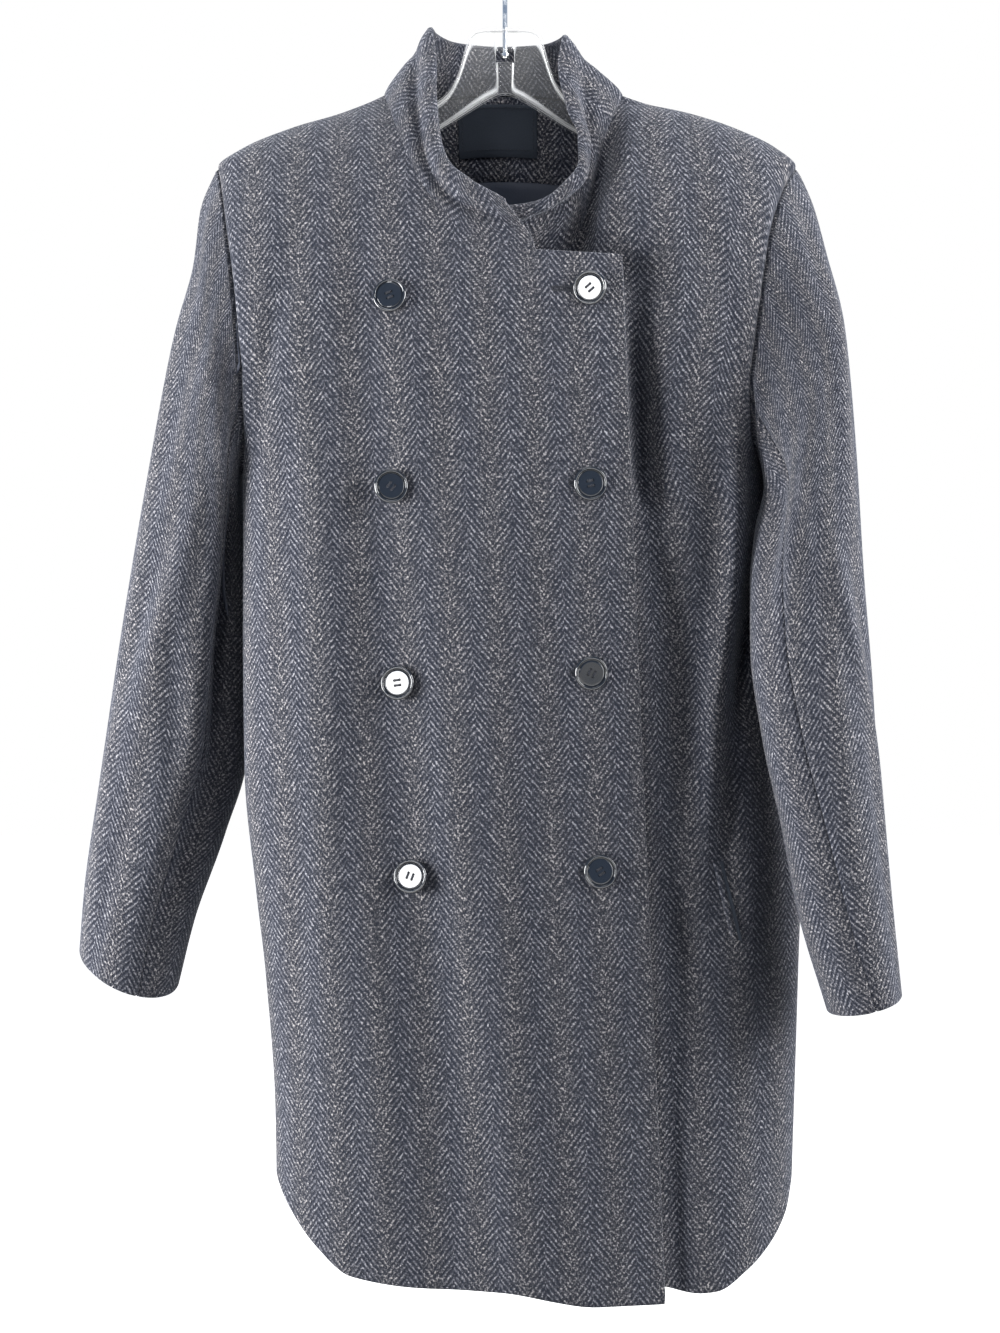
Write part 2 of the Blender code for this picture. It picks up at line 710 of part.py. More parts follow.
def body_edge(y, z, side):
    """Half width of the body at a distance before or behind the shoulder line."""
    reach = np.where(y < 0, level(BODY, "front", z), level(BODY, "back", z))
    power = np.where(y < 0, level(BODY, f"{side}_power", z), BACK_POWER)
    share = np.clip(np.abs(y) / reach, 0, 1)
    return level(BODY, side, z) * (1 - share**power) ** (1 / power)


def sleeve_grid(rows, side):
    """Rings of a sleeve from its armhole to its cuff: down the front, then up the back."""
    sign = -1 if side == "right" else 1
    levels = side_levels()[: ARMHOLE_ROWS + 1]
    turn = np.linspace(0, math.pi, ARMHOLE_ROWS + 1)
    ring = np.concatenate((turn, 2 * math.pi - turn[1:-1][::-1]))
    loop_z = np.concatenate((levels, levels[1:-1][::-1]))
    loop_x = side_x(side, loop_z)
    loop_x[ARMHOLE_ROWS] = sign * level(ARMHOLES, side, UNDERARM_Z)
    front = face_y(loop_x, loop_z, "front", FRONT_FOLDS[side])
    rear = face_y(loop_x, loop_z, "back", BACK_FOLDS)
    loop_y = np.where(ring <= math.pi, front, rear)
    loop_y[[0, ARMHOLE_ROWS]] = 0
    chord = rows[0].inner_x + (rows[0].outer_x - rows[0].inner_x) * (1 + np.cos(ring)) / 2
    at = np.linspace(0, len(rows) - 1, SLEEVE_RINGS + 1)[:, None]
    value = {name: through(range(len(rows)), column(rows, name), at) for name in SleeveRow._fields}
    blend = smoothstep(at / SLEEVE_BLEND_ROWS)
    angle = ring + np.radians(value["turn"])
    share = (1 + np.cos(angle)) / 2
    x = value["inner_x"] + (value["outer_x"] - value["inner_x"]) * share + (1 - blend) * (loop_x - chord)
    y = (1 - blend) * loop_y - blend * value["half_depth"] * np.sin(angle) + value["mid_y"]
    z = value["inner_z"] + (value["outer_z"] - value["inner_z"]) * share - value["droop"] * np.sin(angle)
    x[0] += sign * SEAM
    hold = np.where(z < UNDERARM_Z, body_edge(y, z, side), level(ARMHOLES, side, z))
    x[1:] = sign * np.maximum(sign * x, hold + SLEEVE_CLEARANCE)[1:]
    return np.stack((x + COAT_OFF_HOOK, y, z), axis=2)


def sleeve_walls(rows, side):
    """The top and under cuts of a sleeve, parted by a hair at their two seams."""
    rings = sleeve_grid(rows, side)
    closed = np.concatenate((rings[:, -1:], rings, rings[:, :1]), axis=1)
    middle = rings.mean(axis=1, keepdims=True)
    shift = normals_of(closed, closed - middle)[:, 1:-1]
    shift[0, :, 0] = 0
    shift[0] /= np.linalg.norm(shift[0], axis=1, keepdims=True)
    inner = rings - CLOTH * shift
    count = rings.shape[1]
    under = list(range(SLEEVE_FRONT_SEAM, SLEEVE_BACK_SEAM + 1))
    top = list(range(SLEEVE_BACK_SEAM, count)) + list(range(SLEEVE_FRONT_SEAM + 1))
    made = []
    for cut, places in (("top", top), ("under", under)):
        faces = [grid[:, places].copy() for grid in (rings, inner)]
        for face in faces:
            part_seams(face)
        made.append(wall(f"sleeve_{side}_{cut}", "tweed", *faces))
    return made


def part_seams(grid):
    """Move the two edge columns of a grid a seam's gap towards their neighbours."""
    for edge, neighbour in ((0, 1), (-1, -2)):
        way = grid[:, neighbour] - grid[:, edge]
        grid[:, edge] += way * (SLEEVE_SEAM_SIDE / np.linalg.norm(way, axis=1, keepdims=True))


def patch(grid, rows, columns):
    """Places between a grid's own places, at fractional row and column numbers."""
    row = np.clip(np.floor(rows).astype(int), 0, grid.shape[0] - 2)
    col = np.clip(np.floor(columns).astype(int), 0, grid.shape[1] - 2)
    down = (rows - row)[..., None]
    side = (columns - col)[..., None]
    upper = grid[row, col] * (1 - side) + grid[row, col + 1] * side
    lower = grid[row + 1, col] * (1 - side) + grid[row + 1, col + 1] * side
    return upper * (1 - down) + lower * down


def row_at(grid, col, z):
    """Fractional row number at which a grid's column reaches a height."""
    heights = grid[:, col, 2]
    return float(np.interp(-z, -heights, np.arange(len(heights))))


def back_inside(back, lift):
    """The back's inner face, moved further in."""
    return back.places - (CLOTH + lift) * back.normals


def neck_pieces(back):
    """Facing, lining and label inside the back of the neck, each lying on the layer behind it."""
    first = SHOULDER_COLUMNS
    last = SHOULDER_COLUMNS + BACK_NECK_COLUMNS
    middle = (first + last) // 2
    columns = np.arange(first, last + 1)
    facing_foot = math.floor(row_at(back.places, middle, FACING_FOOT_Z))
    lining_foot = math.ceil(row_at(back.places, middle, LINING_FOOT_Z))
    layers = [back_inside(back, lift) for lift in (SEAM, SEAM + FACING_CLOTH)]
    facing_rows = slice(0, facing_foot + 1)
    wall("neck_facing", "tweed", layers[0][facing_rows, columns], layers[1][facing_rows, columns])
    lining_rows = slice(facing_foot, lining_foot + 1)
    lining = [back_inside(back, lift)[lining_rows, columns] for lift in (SEAM, SEAM + LINING_CLOTH)]
    for face in lining:
        way = face[1] - face[0]
        face[0] += way * (SEAM / np.linalg.norm(way, axis=1, keepdims=True))
    wall("back_lining", "lining", *lining)
    neck_label(back, columns)


def neck_label(back, columns):
    """A bare woven label on the neck facing."""
    sides = np.interp((LABEL_FROM.x, LABEL_TO.x), back.places[0, columns, 0] - COAT_OFF_HOOK, columns)
    middle = int(round(sides.mean()))
    ends = [row_at(back.places, middle, z) for z in (LABEL_FROM.z, LABEL_TO.z)]
    cols = np.linspace(*sides, LABEL_CELLS[0] + 1)
    rows = np.linspace(*ends, LABEL_CELLS[1] + 1)
    row_grid, col_grid = np.meshgrid(rows, cols, indexing="ij")
    lift = 3 * SEAM + FACING_CLOTH
    faces = [patch(back_inside(back, lift + more), row_grid, col_grid) for more in (0, LABEL_CLOTH)]
    wall("neck_label", "label", *faces)


def surface_tree(thing):
    """The faces of a piece, for finding where another one lies on it."""
    mesh = thing.data
    return BVHTree.FromPolygons([v.co for v in mesh.vertices], [tuple(p.vertices) for p in mesh.polygons])


def on_front(tree, x, z):
    """The place on a front's outer face that is seen at x and z, with its normal."""
    place, normal, _, _ = tree.ray_cast(Vector((x + COAT_OFF_HOOK, -1.0, z)), Vector((0, 1, 0)))
    return place, normal


def pocket_edge(front):
    """The turned edge of the seam pocket, lying on the left front."""
    tree = surface_tree(front)
    outer = np.zeros((POCKET_STEPS + 1, 2, 3))
    inner = np.zeros_like(outer)
    for step in range(POCKET_STEPS + 1):
        share = step / POCKET_STEPS
        for edge in range(2):
            x = POCKET_TOP.x + (POCKET_FOOT.x - POCKET_TOP.x) * share - POCKET_WIDTH * edge
            z = POCKET_TOP.z + (POCKET_FOOT.z - POCKET_TOP.z) * share
            place, normal = on_front(tree, x, z)
            inner[step, edge] = place + normal * POCKET_LIFT
            outer[step, edge] = place + normal * (POCKET_LIFT + POCKET_CLOTH)
    return wall("pocket_edge_left", "tweed", outer, inner)


def turned_mesh(outline, segments):
    """Vertices and faces of an outline turned round the Z axis and closed at both ends."""
    angles = np.linspace(0, 2 * math.pi, segments, endpoint=False)
    vertices = []
    for point in outline:
        vertices += [(point.radius * math.cos(a), point.radius * math.sin(a), point.height) for a in angles]
    faces = [tuple(range(segments - 1, -1, -1))]
    for ring in range(len(outline) - 1):
        for k in range(segments):
            after = (k + 1) % segments
            low, high = ring * segments, (ring + 1) * segments
            faces.append((low + k, low + after, high + after, high + k))
    faces.append(tuple(range((len(outline) - 1) * segments, len(outline) * segments)))
    return vertices, faces


def button(name, front_tree, spot):
    """One button, square to the cloth and just clear of it."""
    middle, _ = on_front(front_tree, *spot)
    widest = max(point.radius for point in BUTTON_OUTLINE)
    normals = Vector((0, 0, 0))
    ring = []
    for k in range(BUTTON_PROBES):
        turn = 2 * math.pi * k / BUTTON_PROBES
        place, normal = on_front(front_tree, spot.x + widest * math.cos(turn), spot.z + widest * math.sin(turn))
        normals += normal
        ring.append(place)
    axis = normals.normalized()
    rise = max((place - middle).dot(axis) for place in ring + [middle])
    vertices, faces = turned_mesh(BUTTON_OUTLINE, BUTTON_SEGMENTS)
    turn = axis.to_track_quat("Z", "Y").to_matrix().to_4x4()
    frame = Matrix.Translation(middle + axis * (rise + BUTTON_LIFT)) @ turn
    return new_object(name, "button", [frame @ Vector(place) for place in vertices], faces)


def hanger_stations():
    """The hanger's sections from the tip of its right arm to the tip of its left one."""
    halves = {}
    for sign in (-1, 1):
        rows = [(sign * r.top_reach, r.top_z, sign * r.low_reach, r.low_z, r.web) for r in HANGER_HEAD]
        for reach in HANGER_ARM_REACHES:
            share = (reach - HANGER_ARM_REACHES[0]) / (HANGER_ARM_REACHES[-1] - HANGER_ARM_REACHES[0])
            height = HANGER_ARM_HEIGHTS[0] + (HANGER_ARM_HEIGHTS[1] - HANGER_ARM_HEIGHTS[0]) * share
            top = ridge_z(sign * reach - COAT_OFF_HOOK) - HANGER_UNDER_RIDGE
            rows.append((sign * reach, top, sign * reach, top - height, HANGER_ARM_WEB))
        halves[sign] = rows
    return halves[-1][::-1] + halves[1][1:]


def hanger_section(top_x, top_z, low_x, low_z, web):
    """Outline of one section: a crowned top rim, a web and a flat lower rim."""
    top = np.array((top_x, 0, top_z))
    low = np.array((low_x, 0, low_z))
    down = (low - top) / np.linalg.norm(low - top)
    crown_half, crown_drop = HANGER_CROWN
    side = [
        top + (0, crown_half, 0),
        top + down * crown_drop + (0, HANGER_RIM, 0),
        top + down * HANGER_RIM_HEIGHT + (0, max(HANGER_RIM, web / 2), 0),
        top + down * (HANGER_RIM_HEIGHT + crown_drop) + (0, web / 2, 0),
        low - down * HANGER_RIM_HEIGHT + (0, web / 2, 0),
        low - down * crown_drop + (0, HANGER_RIM, 0),
        low + (0, HANGER_RIM, 0),
    ]
    mirrored = [place * (1, -1, 1) for place in reversed(side)]
    return side + mirrored


def hanger_body():
    """The plastic hanger: sections joined from arm to arm and closed at both tips."""
    sections = [hanger_section(*station) for station in hanger_stations()]
    count = len(sections[0])
    faces = [tuple(range(count))]
    for station in range(len(sections) - 1):
        for k in range(count):
            after = (k + 1) % count
            here, there = station * count, (station + 1) * count
            faces.append((here + after, here + k, there + k, there + after))
    last = (len(sections) - 1) * count
    faces.append(tuple(range(last + count - 1, last - 1, -1)))
    return new_object("hanger_body", "clear_plastic", np.vstack(sections), faces)


def hook_path():
    """Middle line of the wire: a stem that leans out into a round bend over the rail."""
    middle_z = HOOK_WIRE - HOOK_BEND
    angles = np.radians(np.linspace(HOOK_ARC_FROM, HOOK_ARC_TO, HOOK_ARC_STEPS + 1))
    arc = np.column_stack((HOOK_BEND * np.cos(angles), middle_z + HOOK_BEND * np.sin(angles)))
    way = np.array((-math.sin(angles[0]), math.cos(angles[0])))
    start = np.array((0.0, HOOK_STEM_Z))
    reach = np.linalg.norm(arc[0] - start)
    share = np.linspace(0, 1, HOOK_STEM_STEPS + 1)[:-1, None]
    up = start + np.array((0.0, 1.0)) * reach / 2
    back = arc[0] - way * reach / 2
    rest = 1 - share
    stem = rest**3 * start + 3 * rest**2 * share * up + 3 * rest * share**2 * back + share**3 * arc[0]
    return np.vstack((stem, arc))


def hanger_hook():
    """The hook: a round wire along its path."""
    path = hook_path()
    curve = bpy.data.curves.new("hanger_hook", "CURVE")
    curve.dimensions = "3D"
    curve.bevel_depth = HOOK_WIRE
    curve.bevel_resolution = 2
    curve.use_fill_caps = True
    spline = curve.splines.new("POLY")
    spline.points.add(len(path) - 1)
    for point, (y, z) in zip(spline.points, path):
        point.co = (0.0, y, z, 1.0)
    thing = bpy.data.objects.new("hanger_hook", curve)
    bpy.context.collection.objects.link(thing)
    dress(thing, "hook_steel")
    return thing


HANG_POINT = "hang_point"


def main():
    """Build every piece under one empty at the hook."""
    for thing in list(bpy.data.objects):
        bpy.data.objects.remove(thing)
    bpy.context.collection.objects.link(bpy.data.objects.new(HANG_POINT, None))

    right, left, back = front_panel("right"), front_panel("left"), back_panel()
    front_right = panel_wall("front_right", right, "front")
    front_left = panel_wall("front_left", left, "front")
    panel_wall("back", back, "back")
    collar_wall(collar_grid(collar_base(right, back, left)))
    sleeve_walls(RIGHT_SLEEVE, "right")
    sleeve_walls(LEFT_SLEEVE, "left")
    neck_pieces(back)
    pocket_edge(front_left)

    tree = surface_tree(front_right)
    for kind, spots in (("outer", OUTER_BUTTONS), ("edge", EDGE_BUTTONS)):
        for number, spot in enumerate(spots, 1):
            button(f"button_{kind}_{number}", tree, spot)
    hanger_body()
    hanger_hook()


main()
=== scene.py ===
"""Looks of a double-breasted coat on a clear hanger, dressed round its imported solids.

Sizes are in metres, in the frame of the solids: +Z is up, the front faces -Y and +X is the
wearer's left. The cloth tables give widths from the coat's own middle line.
"""

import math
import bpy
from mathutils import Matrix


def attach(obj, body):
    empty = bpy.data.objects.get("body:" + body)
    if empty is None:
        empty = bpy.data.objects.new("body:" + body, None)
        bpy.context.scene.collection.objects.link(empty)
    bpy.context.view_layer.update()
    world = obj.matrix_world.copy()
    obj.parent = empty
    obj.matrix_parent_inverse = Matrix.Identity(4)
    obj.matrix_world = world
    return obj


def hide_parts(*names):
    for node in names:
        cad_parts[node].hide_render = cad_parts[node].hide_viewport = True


bl_info = {
    "name": "Double-Breasted Coat",
    "version": (1, 0, 0),
    "blender": (4, 5, 0),
    "location": "View3D > Sidebar > Coat",
    "description": "Dresses the coat's solids with cloth, buttons, stitches, hanger and studio",
    "category": "Object",
}

from typing import NamedTuple

import bmesh
import bpy
import numpy as np
from bpy.props import FloatProperty, FloatVectorProperty, PointerProperty
from mathutils import Matrix, Vector

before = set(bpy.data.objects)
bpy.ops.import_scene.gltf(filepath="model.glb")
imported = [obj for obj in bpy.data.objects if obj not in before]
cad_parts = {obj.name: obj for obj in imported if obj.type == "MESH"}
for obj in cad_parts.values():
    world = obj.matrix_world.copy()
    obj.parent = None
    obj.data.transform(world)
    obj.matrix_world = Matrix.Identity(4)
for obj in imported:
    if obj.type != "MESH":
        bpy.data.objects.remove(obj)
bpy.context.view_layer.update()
BODY_NAME = "root"

# Cloth and seams
CLOTH = 0.003
COLLAR_CLOTH = 0.005
FACING_CLOTH = 0.0015
LINING_CLOTH = 0.001
LABEL_CLOTH = 0.0008
SEAM = 0.0003
SEAM_REACH = 0.0035
SEAM_START = 6
COAT_OFF_HOOK = -0.004

# How round the edges of a sheet are, from flat at a seam to fully round
FLAT_EDGE = 0.0
SEWN_EDGE = 0.2
POCKET_EDGE = 0.4
LAYER_EDGE = 0.8
FREE_EDGE = 1.0

# Strips that each piece is divided into
ARMHOLE_ROWS = 56
SIDE_ROWS = 124
LAP_COLUMNS = 30
NECK_COLUMNS = 42
SHOULDER_COLUMNS = 44
BACK_NECK_COLUMNS = 60
COLLAR_ROWS = 36
SLEEVE_RINGS = 150
RIM_STEPS = 4
RIDGE_STEPS = 60

# Body levels
NECK_POINT_Z = -0.1078
SHOULDER_Z = -0.1685
UNDERARM_Z = -0.4180
SIDE_HEM_Z = -0.9870
BACK_POWER = 2.4


def table(kind, *rows):
    """A table whose rows are all of one kind."""
    return tuple(kind(*row) for row in rows)


class BodyRow(NamedTuple):
    """One level of the body: half widths, depths from the shoulder line, roundness of the sides."""

    z: float
    right: float
    left: float
    front: float
    back: float
    right_power: float
    left_power: float


BODY = table(
    BodyRow,
    (-0.0850, 0.0420, 0.0450, 0.004, 0.052, 2.4, 2.4),
    (-0.0950, 0.0680, 0.0720, 0.006, 0.054, 2.4, 2.4),
    (NECK_POINT_Z, 0.0951, 0.1005, 0.012, 0.056, 2.4, 2.4),
    (-0.1242, 0.1337, 0.1600, 0.026, 0.058, 2.4, 2.4),
    (-0.1357, 0.1714, 0.1927, 0.034, 0.059, 2.4, 2.4),
    (-0.1521, 0.2107, 0.2263, 0.043, 0.061, 2.4, 2.4),
    (SHOULDER_Z, 0.2321, 0.2435, 0.050, 0.063, 2.4, 2.4),
    (-0.2000, 0.2345, 0.2455, 0.060, 0.065, 2.8, 2.8),
    (-0.2500, 0.2350, 0.2430, 0.068, 0.067, 2.9, 2.9),
    (-0.3000, 0.2320, 0.2370, 0.072, 0.068, 2.7, 2.7),
    (-0.3600, 0.2250, 0.2280, 0.073, 0.067, 2.4, 2.4),
    (UNDERARM_Z, 0.2103, 0.2160, 0.073, 0.066, 2.4, 2.1),
    (-0.5500, 0.2103, 0.2190, 0.073, 0.066, 2.5, 2.0),
    (-0.6600, 0.2090, 0.2340, 0.073, 0.066, 2.5, 1.9),
    (-0.7600, 0.1993, 0.2465, 0.073, 0.066, 2.5, 1.9),
    (-0.8245, 0.1919, 0.2445, 0.073, 0.066, 2.4, 2.0),
    (-0.9400, 0.1837, 0.2405, 0.074, 0.068, 2.4, 2.2),
    (-1.0800, 0.1820, 0.2360, 0.075, 0.070, 2.4, 2.2),
)


class ArmholeRow(NamedTuple):
    """One level of the armhole seams, as seen from the front."""

    z: float
    right: float
    left: float


ARMHOLES = table(
    ArmholeRow,
    (SHOULDER_Z, 0.2321, 0.2435),
    (-0.1870, 0.2270, 0.2310),
    (-0.2265, 0.2206, 0.2170),
    (-0.2600, 0.2155, 0.2115),
    (-0.3150, 0.2105, 0.2040),
    (-0.3520, 0.2080, 0.2000),
    (-0.3900, 0.2080, 0.2030),
    (UNDERARM_Z, 0.2103, 0.2160),
)


class Spot(NamedTuple):
    """A place on a panel, as seen from the front."""

    x: float
    z: float


RIGHT_NECK = table(
    Spot,
    (-0.0951, NECK_POINT_Z),
    (-0.0757, -0.1634),
    (-0.0550, -0.2036),
    (-0.0234, -0.2345),
    (0.0258, -0.2479),
)
LEFT_NECK = table(
    Spot,
    (0.1005, NECK_POINT_Z),
    (0.0840, -0.1500),
    (0.0750, -0.1900),
    (0.0640, -0.2250),
    (0.0440, -0.2470),
    (0.0000, -0.2560),
    (-0.0258, -0.2570),
)
BACK_NECK_RISE = 0.0128

LAP_CORNER = Spot(0.0950, -0.2515)
LAP_FOOT = Spot(0.1295, -1.0776)
UNDERLAP_CORNER = Spot(-0.0780, -0.2590)
UNDERLAP_FOOT = Spot(-0.0760, -1.0600)
UNDERLAP_INSET = 0.0062
UNDERLAP_FADE = (0.105, 0.190)

RIGHT_HEM = table(
    Spot,
    (-0.1829, SIDE_HEM_Z),
    (-0.1690, -1.0095),
    (-0.1460, -1.0360),
    (-0.1180, -1.0560),
    (-0.0550, -1.0635),
    (0.0040, -1.0650),
    (0.0785, -1.0776),
    (0.1295, -1.0776),
)
LEFT_HEM = table(
    Spot,
    (-0.0760, -1.0600),
    (0.1285, -1.0650),
    (0.1490, -1.0706),
    (0.1720, -1.0690),
    (0.1950, -1.0560),
    (0.2120, -1.0425),
    (0.2310, -1.0170),
    (0.23896, SIDE_HEM_Z),
)
BACK_HEM = table(
    Spot,
    (-0.1829, SIDE_HEM_Z),
    (-0.1667, -1.0095),
    (-0.1420, -1.0340),
    (-0.1100, -1.0500),
    (0.0200, -1.0560),
    (0.1600, -1.0530),
    (0.1950, -1.0400),
    (0.2250, -1.0130),
    (0.23896, SIDE_HEM_Z),
)


class FoldRow(NamedTuple):
    """One level of a long fold: where its crest is, how wide and how far out (or in) it stands."""

    z: float
    x: float
    half_width: float
    rise: float


RIGHT_FOLDS = (
    table(
        FoldRow,
        (-0.170, -0.117, 0.016, 0.000),
        (-0.300, -0.110, 0.020, -0.004),
        (-0.520, -0.092, 0.026, -0.007),
        (-0.680, -0.082, 0.028, -0.008),
        (-0.800, -0.060, 0.028, -0.008),
        (-0.950, -0.042, 0.026, -0.006),
        (-1.080, -0.036, 0.026, -0.003),
    ),
    table(
        FoldRow,
        (-0.360, -0.150, 0.020, 0.000),
        (-0.500, -0.146, 0.025, 0.005),
        (-0.750, -0.136, 0.026, 0.006),
        (-0.950, -0.125, 0.028, 0.003),
        (-1.080, -0.120, 0.028, 0.002),
    ),
    table(
        FoldRow,
        (-0.400, -0.020, 0.030, 0.000),
        (-0.650, -0.012, 0.034, 0.004),
        (-0.900, 0.008, 0.036, 0.005),
        (-1.080, 0.025, 0.040, 0.006),
    ),
)
LEFT_FOLDS = (
    table(
        FoldRow,
        (-0.240, 0.106, 0.012, -0.002),
        (-0.300, 0.107, 0.012, -0.010),
        (-0.380, 0.113, 0.013, -0.020),
        (-0.425, 0.113, 0.013, -0.018),
        (-0.465, 0.114, 0.014, -0.007),
        (-0.540, 0.134, 0.020, -0.009),
        (-0.620, 0.145, 0.021, -0.010),
        (-0.700, 0.150, 0.020, -0.005),
        (-0.780, 0.152, 0.020, 0.000),
    ),
    table(
        FoldRow,
        (-0.270, 0.195, 0.018, 0.000),
        (-0.360, 0.193, 0.016, 0.008),
        (-0.430, 0.192, 0.014, 0.019),
        (-0.500, 0.189, 0.014, 0.022),
        (-0.560, 0.181, 0.014, 0.018),
        (-0.620, 0.172, 0.015, 0.011),
        (-0.690, 0.167, 0.018, 0.006),
        (-0.760, 0.165, 0.020, 0.000),
    ),
    table(
        FoldRow,
        (-0.700, 0.126, 0.012, 0.000),
        (-0.745, 0.129, 0.014, -0.005),
        (-0.790, 0.136, 0.016, -0.011),
        (-0.840, 0.140, 0.014, -0.006),
        (-0.930, 0.138, 0.011, -0.005),
        (-1.010, 0.141, 0.011, -0.006),
        (-1.080, 0.144, 0.011, -0.006),
    ),
    table(
        FoldRow,
        (-0.850, 0.190, 0.030, 0.000),
        (-1.000, 0.185, 0.034, 0.007),
        (-1.080, 0.180, 0.036, 0.007),
    ),
)
BACK_FOLDS = (
    table(
        FoldRow,
        (-0.300, 0.010, 0.040, 0.000),
        (-0.600, 0.012, 0.050, -0.007),
        (-0.900, 0.018, 0.050, -0.009),
        (-1.080, 0.020, 0.050, -0.009),
    ),
    table(
        FoldRow,
        (-0.350, -0.100, 0.030, 0.000),
        (-0.650, -0.095, 0.035, 0.006),
        (-1.080, -0.090, 0.040, 0.006),
    ),
    table(
        FoldRow,
        (-0.350, 0.120, 0.030, 0.000),
        (-0.700, 0.125, 0.035, 0.007),
        (-1.080, 0.130, 0.040, 0.006),
    ),
)
FOLD_SEAM_FADE = 0.6
LEAST_STAND = 0.4
ARMHOLE_BEND_POWER = 4
PROBE = 0.0001


class CollarRow(NamedTuple):
    """A place on the collar's top edge, from its right front end round the back to its left end."""

    along: float
    x: float
    y: float
    z: float
    swell: float


COLLAR_EDGE = table(
    CollarRow,
    (0.00, 0.0010, -0.0715, -0.2076, 0.000),
    (0.06, -0.0234, -0.0690, -0.1940, 0.001),
    (0.12, -0.0405, -0.0600, -0.1780, 0.003),
    (0.17, -0.0480, -0.0470, -0.1550, 0.004),
    (0.22, -0.0520, -0.0320, -0.1180, 0.004),
    (0.27, -0.0540, -0.0140, -0.0800, 0.001),
    (0.30, -0.0590, 0.0040, -0.0515, -0.002),
    (0.40, -0.0400, 0.0450, -0.0530, 0.001),
    (0.50, 0.0000, 0.0600, -0.0530, 0.001),
    (0.60, 0.0380, 0.0450, -0.0545, 0.001),
    (0.70, 0.0550, 0.0040, -0.0575, -0.004),
    (0.73, 0.0500, -0.0140, -0.0850, 0.000),
    (0.78, 0.0570, -0.0320, -0.1240, 0.002),
    (0.83, 0.0660, -0.0460, -0.1520, 0.002),
    (0.88, 0.0660, -0.0540, -0.1750, 0.001),
    (0.93, 0.0520, -0.0580, -0.1950, 0.000),
    (0.97, 0.0280, -0.0590, -0.2090, 0.000),
    (1.00, -0.0150, -0.0590, -0.2150, 0.000),
)
COLLAR_FRONT_SHARE = 0.30
COLLAR_FOOT_TILT = 0.5


class SleeveRow(NamedTuple):
    """One cross-section of a sleeve: its outer and inner lines, depth, twist and front drop."""

    outer_x: float
    outer_z: float
    inner_x: float
    inner_z: float
    mid_y: float
    half_depth: float
    turn: float
    droop: float


RIGHT_SLEEVE = table(
    SleeveRow,
    (-0.2321, SHOULDER_Z, -0.2103, UNDERARM_Z, 0.000, 0.036, 0.0, 0.000),
    (-0.2455, -0.2013, -0.2122, -0.4300, 0.002, 0.046, 0.0, 0.000),
    (-0.2510, -0.2450, -0.2110, -0.4450, 0.006, 0.052, 0.0, 0.000),
    (-0.2670, -0.2997, -0.2075, -0.4650, 0.016, 0.055, 0.0, 0.000),
    (-0.2890, -0.3981, -0.2065, -0.5100, 0.026, 0.055, 0.0, 0.000),
    (-0.3070, -0.4965, -0.2100, -0.5750, 0.030, 0.054, 0.0, 0.000),
    (-0.3225, -0.5949, -0.2115, -0.6500, 0.030, 0.051, -4.0, 0.002),
    (-0.3340, -0.6769, -0.2290, -0.7150, 0.026, 0.048, -8.0, 0.004),
    (-0.3440, -0.7589, -0.2530, -0.7850, 0.018, 0.045, -12.0, 0.009),
    (-0.3465, -0.8050, -0.2655, -0.8380, 0.012, 0.044, -14.0, 0.014),
)
LEFT_SLEEVE = table(
    SleeveRow,
    (0.2435, SHOULDER_Z, 0.2160, UNDERARM_Z, 0.000, 0.044, 0.0, 0.000),
    (0.2560, -0.2013, 0.2150, -0.4300, -0.006, 0.050, 0.0, 0.000),
    (0.2650, -0.2450, 0.2105, -0.4450, -0.019, 0.053, 0.0, 0.000),
    (0.2755, -0.2997, 0.2050, -0.4650, -0.034, 0.053, 0.0, 0.000),
    (0.2825, -0.4008, 0.1990, -0.5100, -0.050, 0.051, 0.0, 0.002),
    (0.2865, -0.4984, 0.1980, -0.5650, -0.062, 0.048, -4.0, 0.005),
    (0.2935, -0.5943, 0.2060, -0.6320, -0.070, 0.046, -10.0, 0.008),
    (0.3000, -0.6734, 0.2205, -0.7000, -0.072, 0.043, -20.0, 0.012),
    (0.3070, -0.7524, 0.2345, -0.7720, -0.072, 0.041, -31.0, 0.010),
    (0.3150, -0.8320, 0.2570, -0.8460, -0.071, 0.040, -40.0, 0.001),
)
SLEEVE_BLEND_ROWS = 3.0
SLEEVE_CLEARANCE = 0.0025
SLEEVE_HOLD_FADE = 0.060
SLEEVE_HOLD_RISE = 0.030
SLEEVE_HOLD_FRONT = 0.015
SLEEVE_SEAM_SIDE = 0.0003
SLEEVE_FRONT_SEAM = 7
SLEEVE_BACK_SEAM = 14
SLEEVE_PLACES = 20


class Crease(NamedTuple):
    """A soft crease: its middle, its lean off the vertical, its half sizes and its rise."""

    x: float
    z: float
    lean: float
    half_length: float
    half_width: float
    rise: float


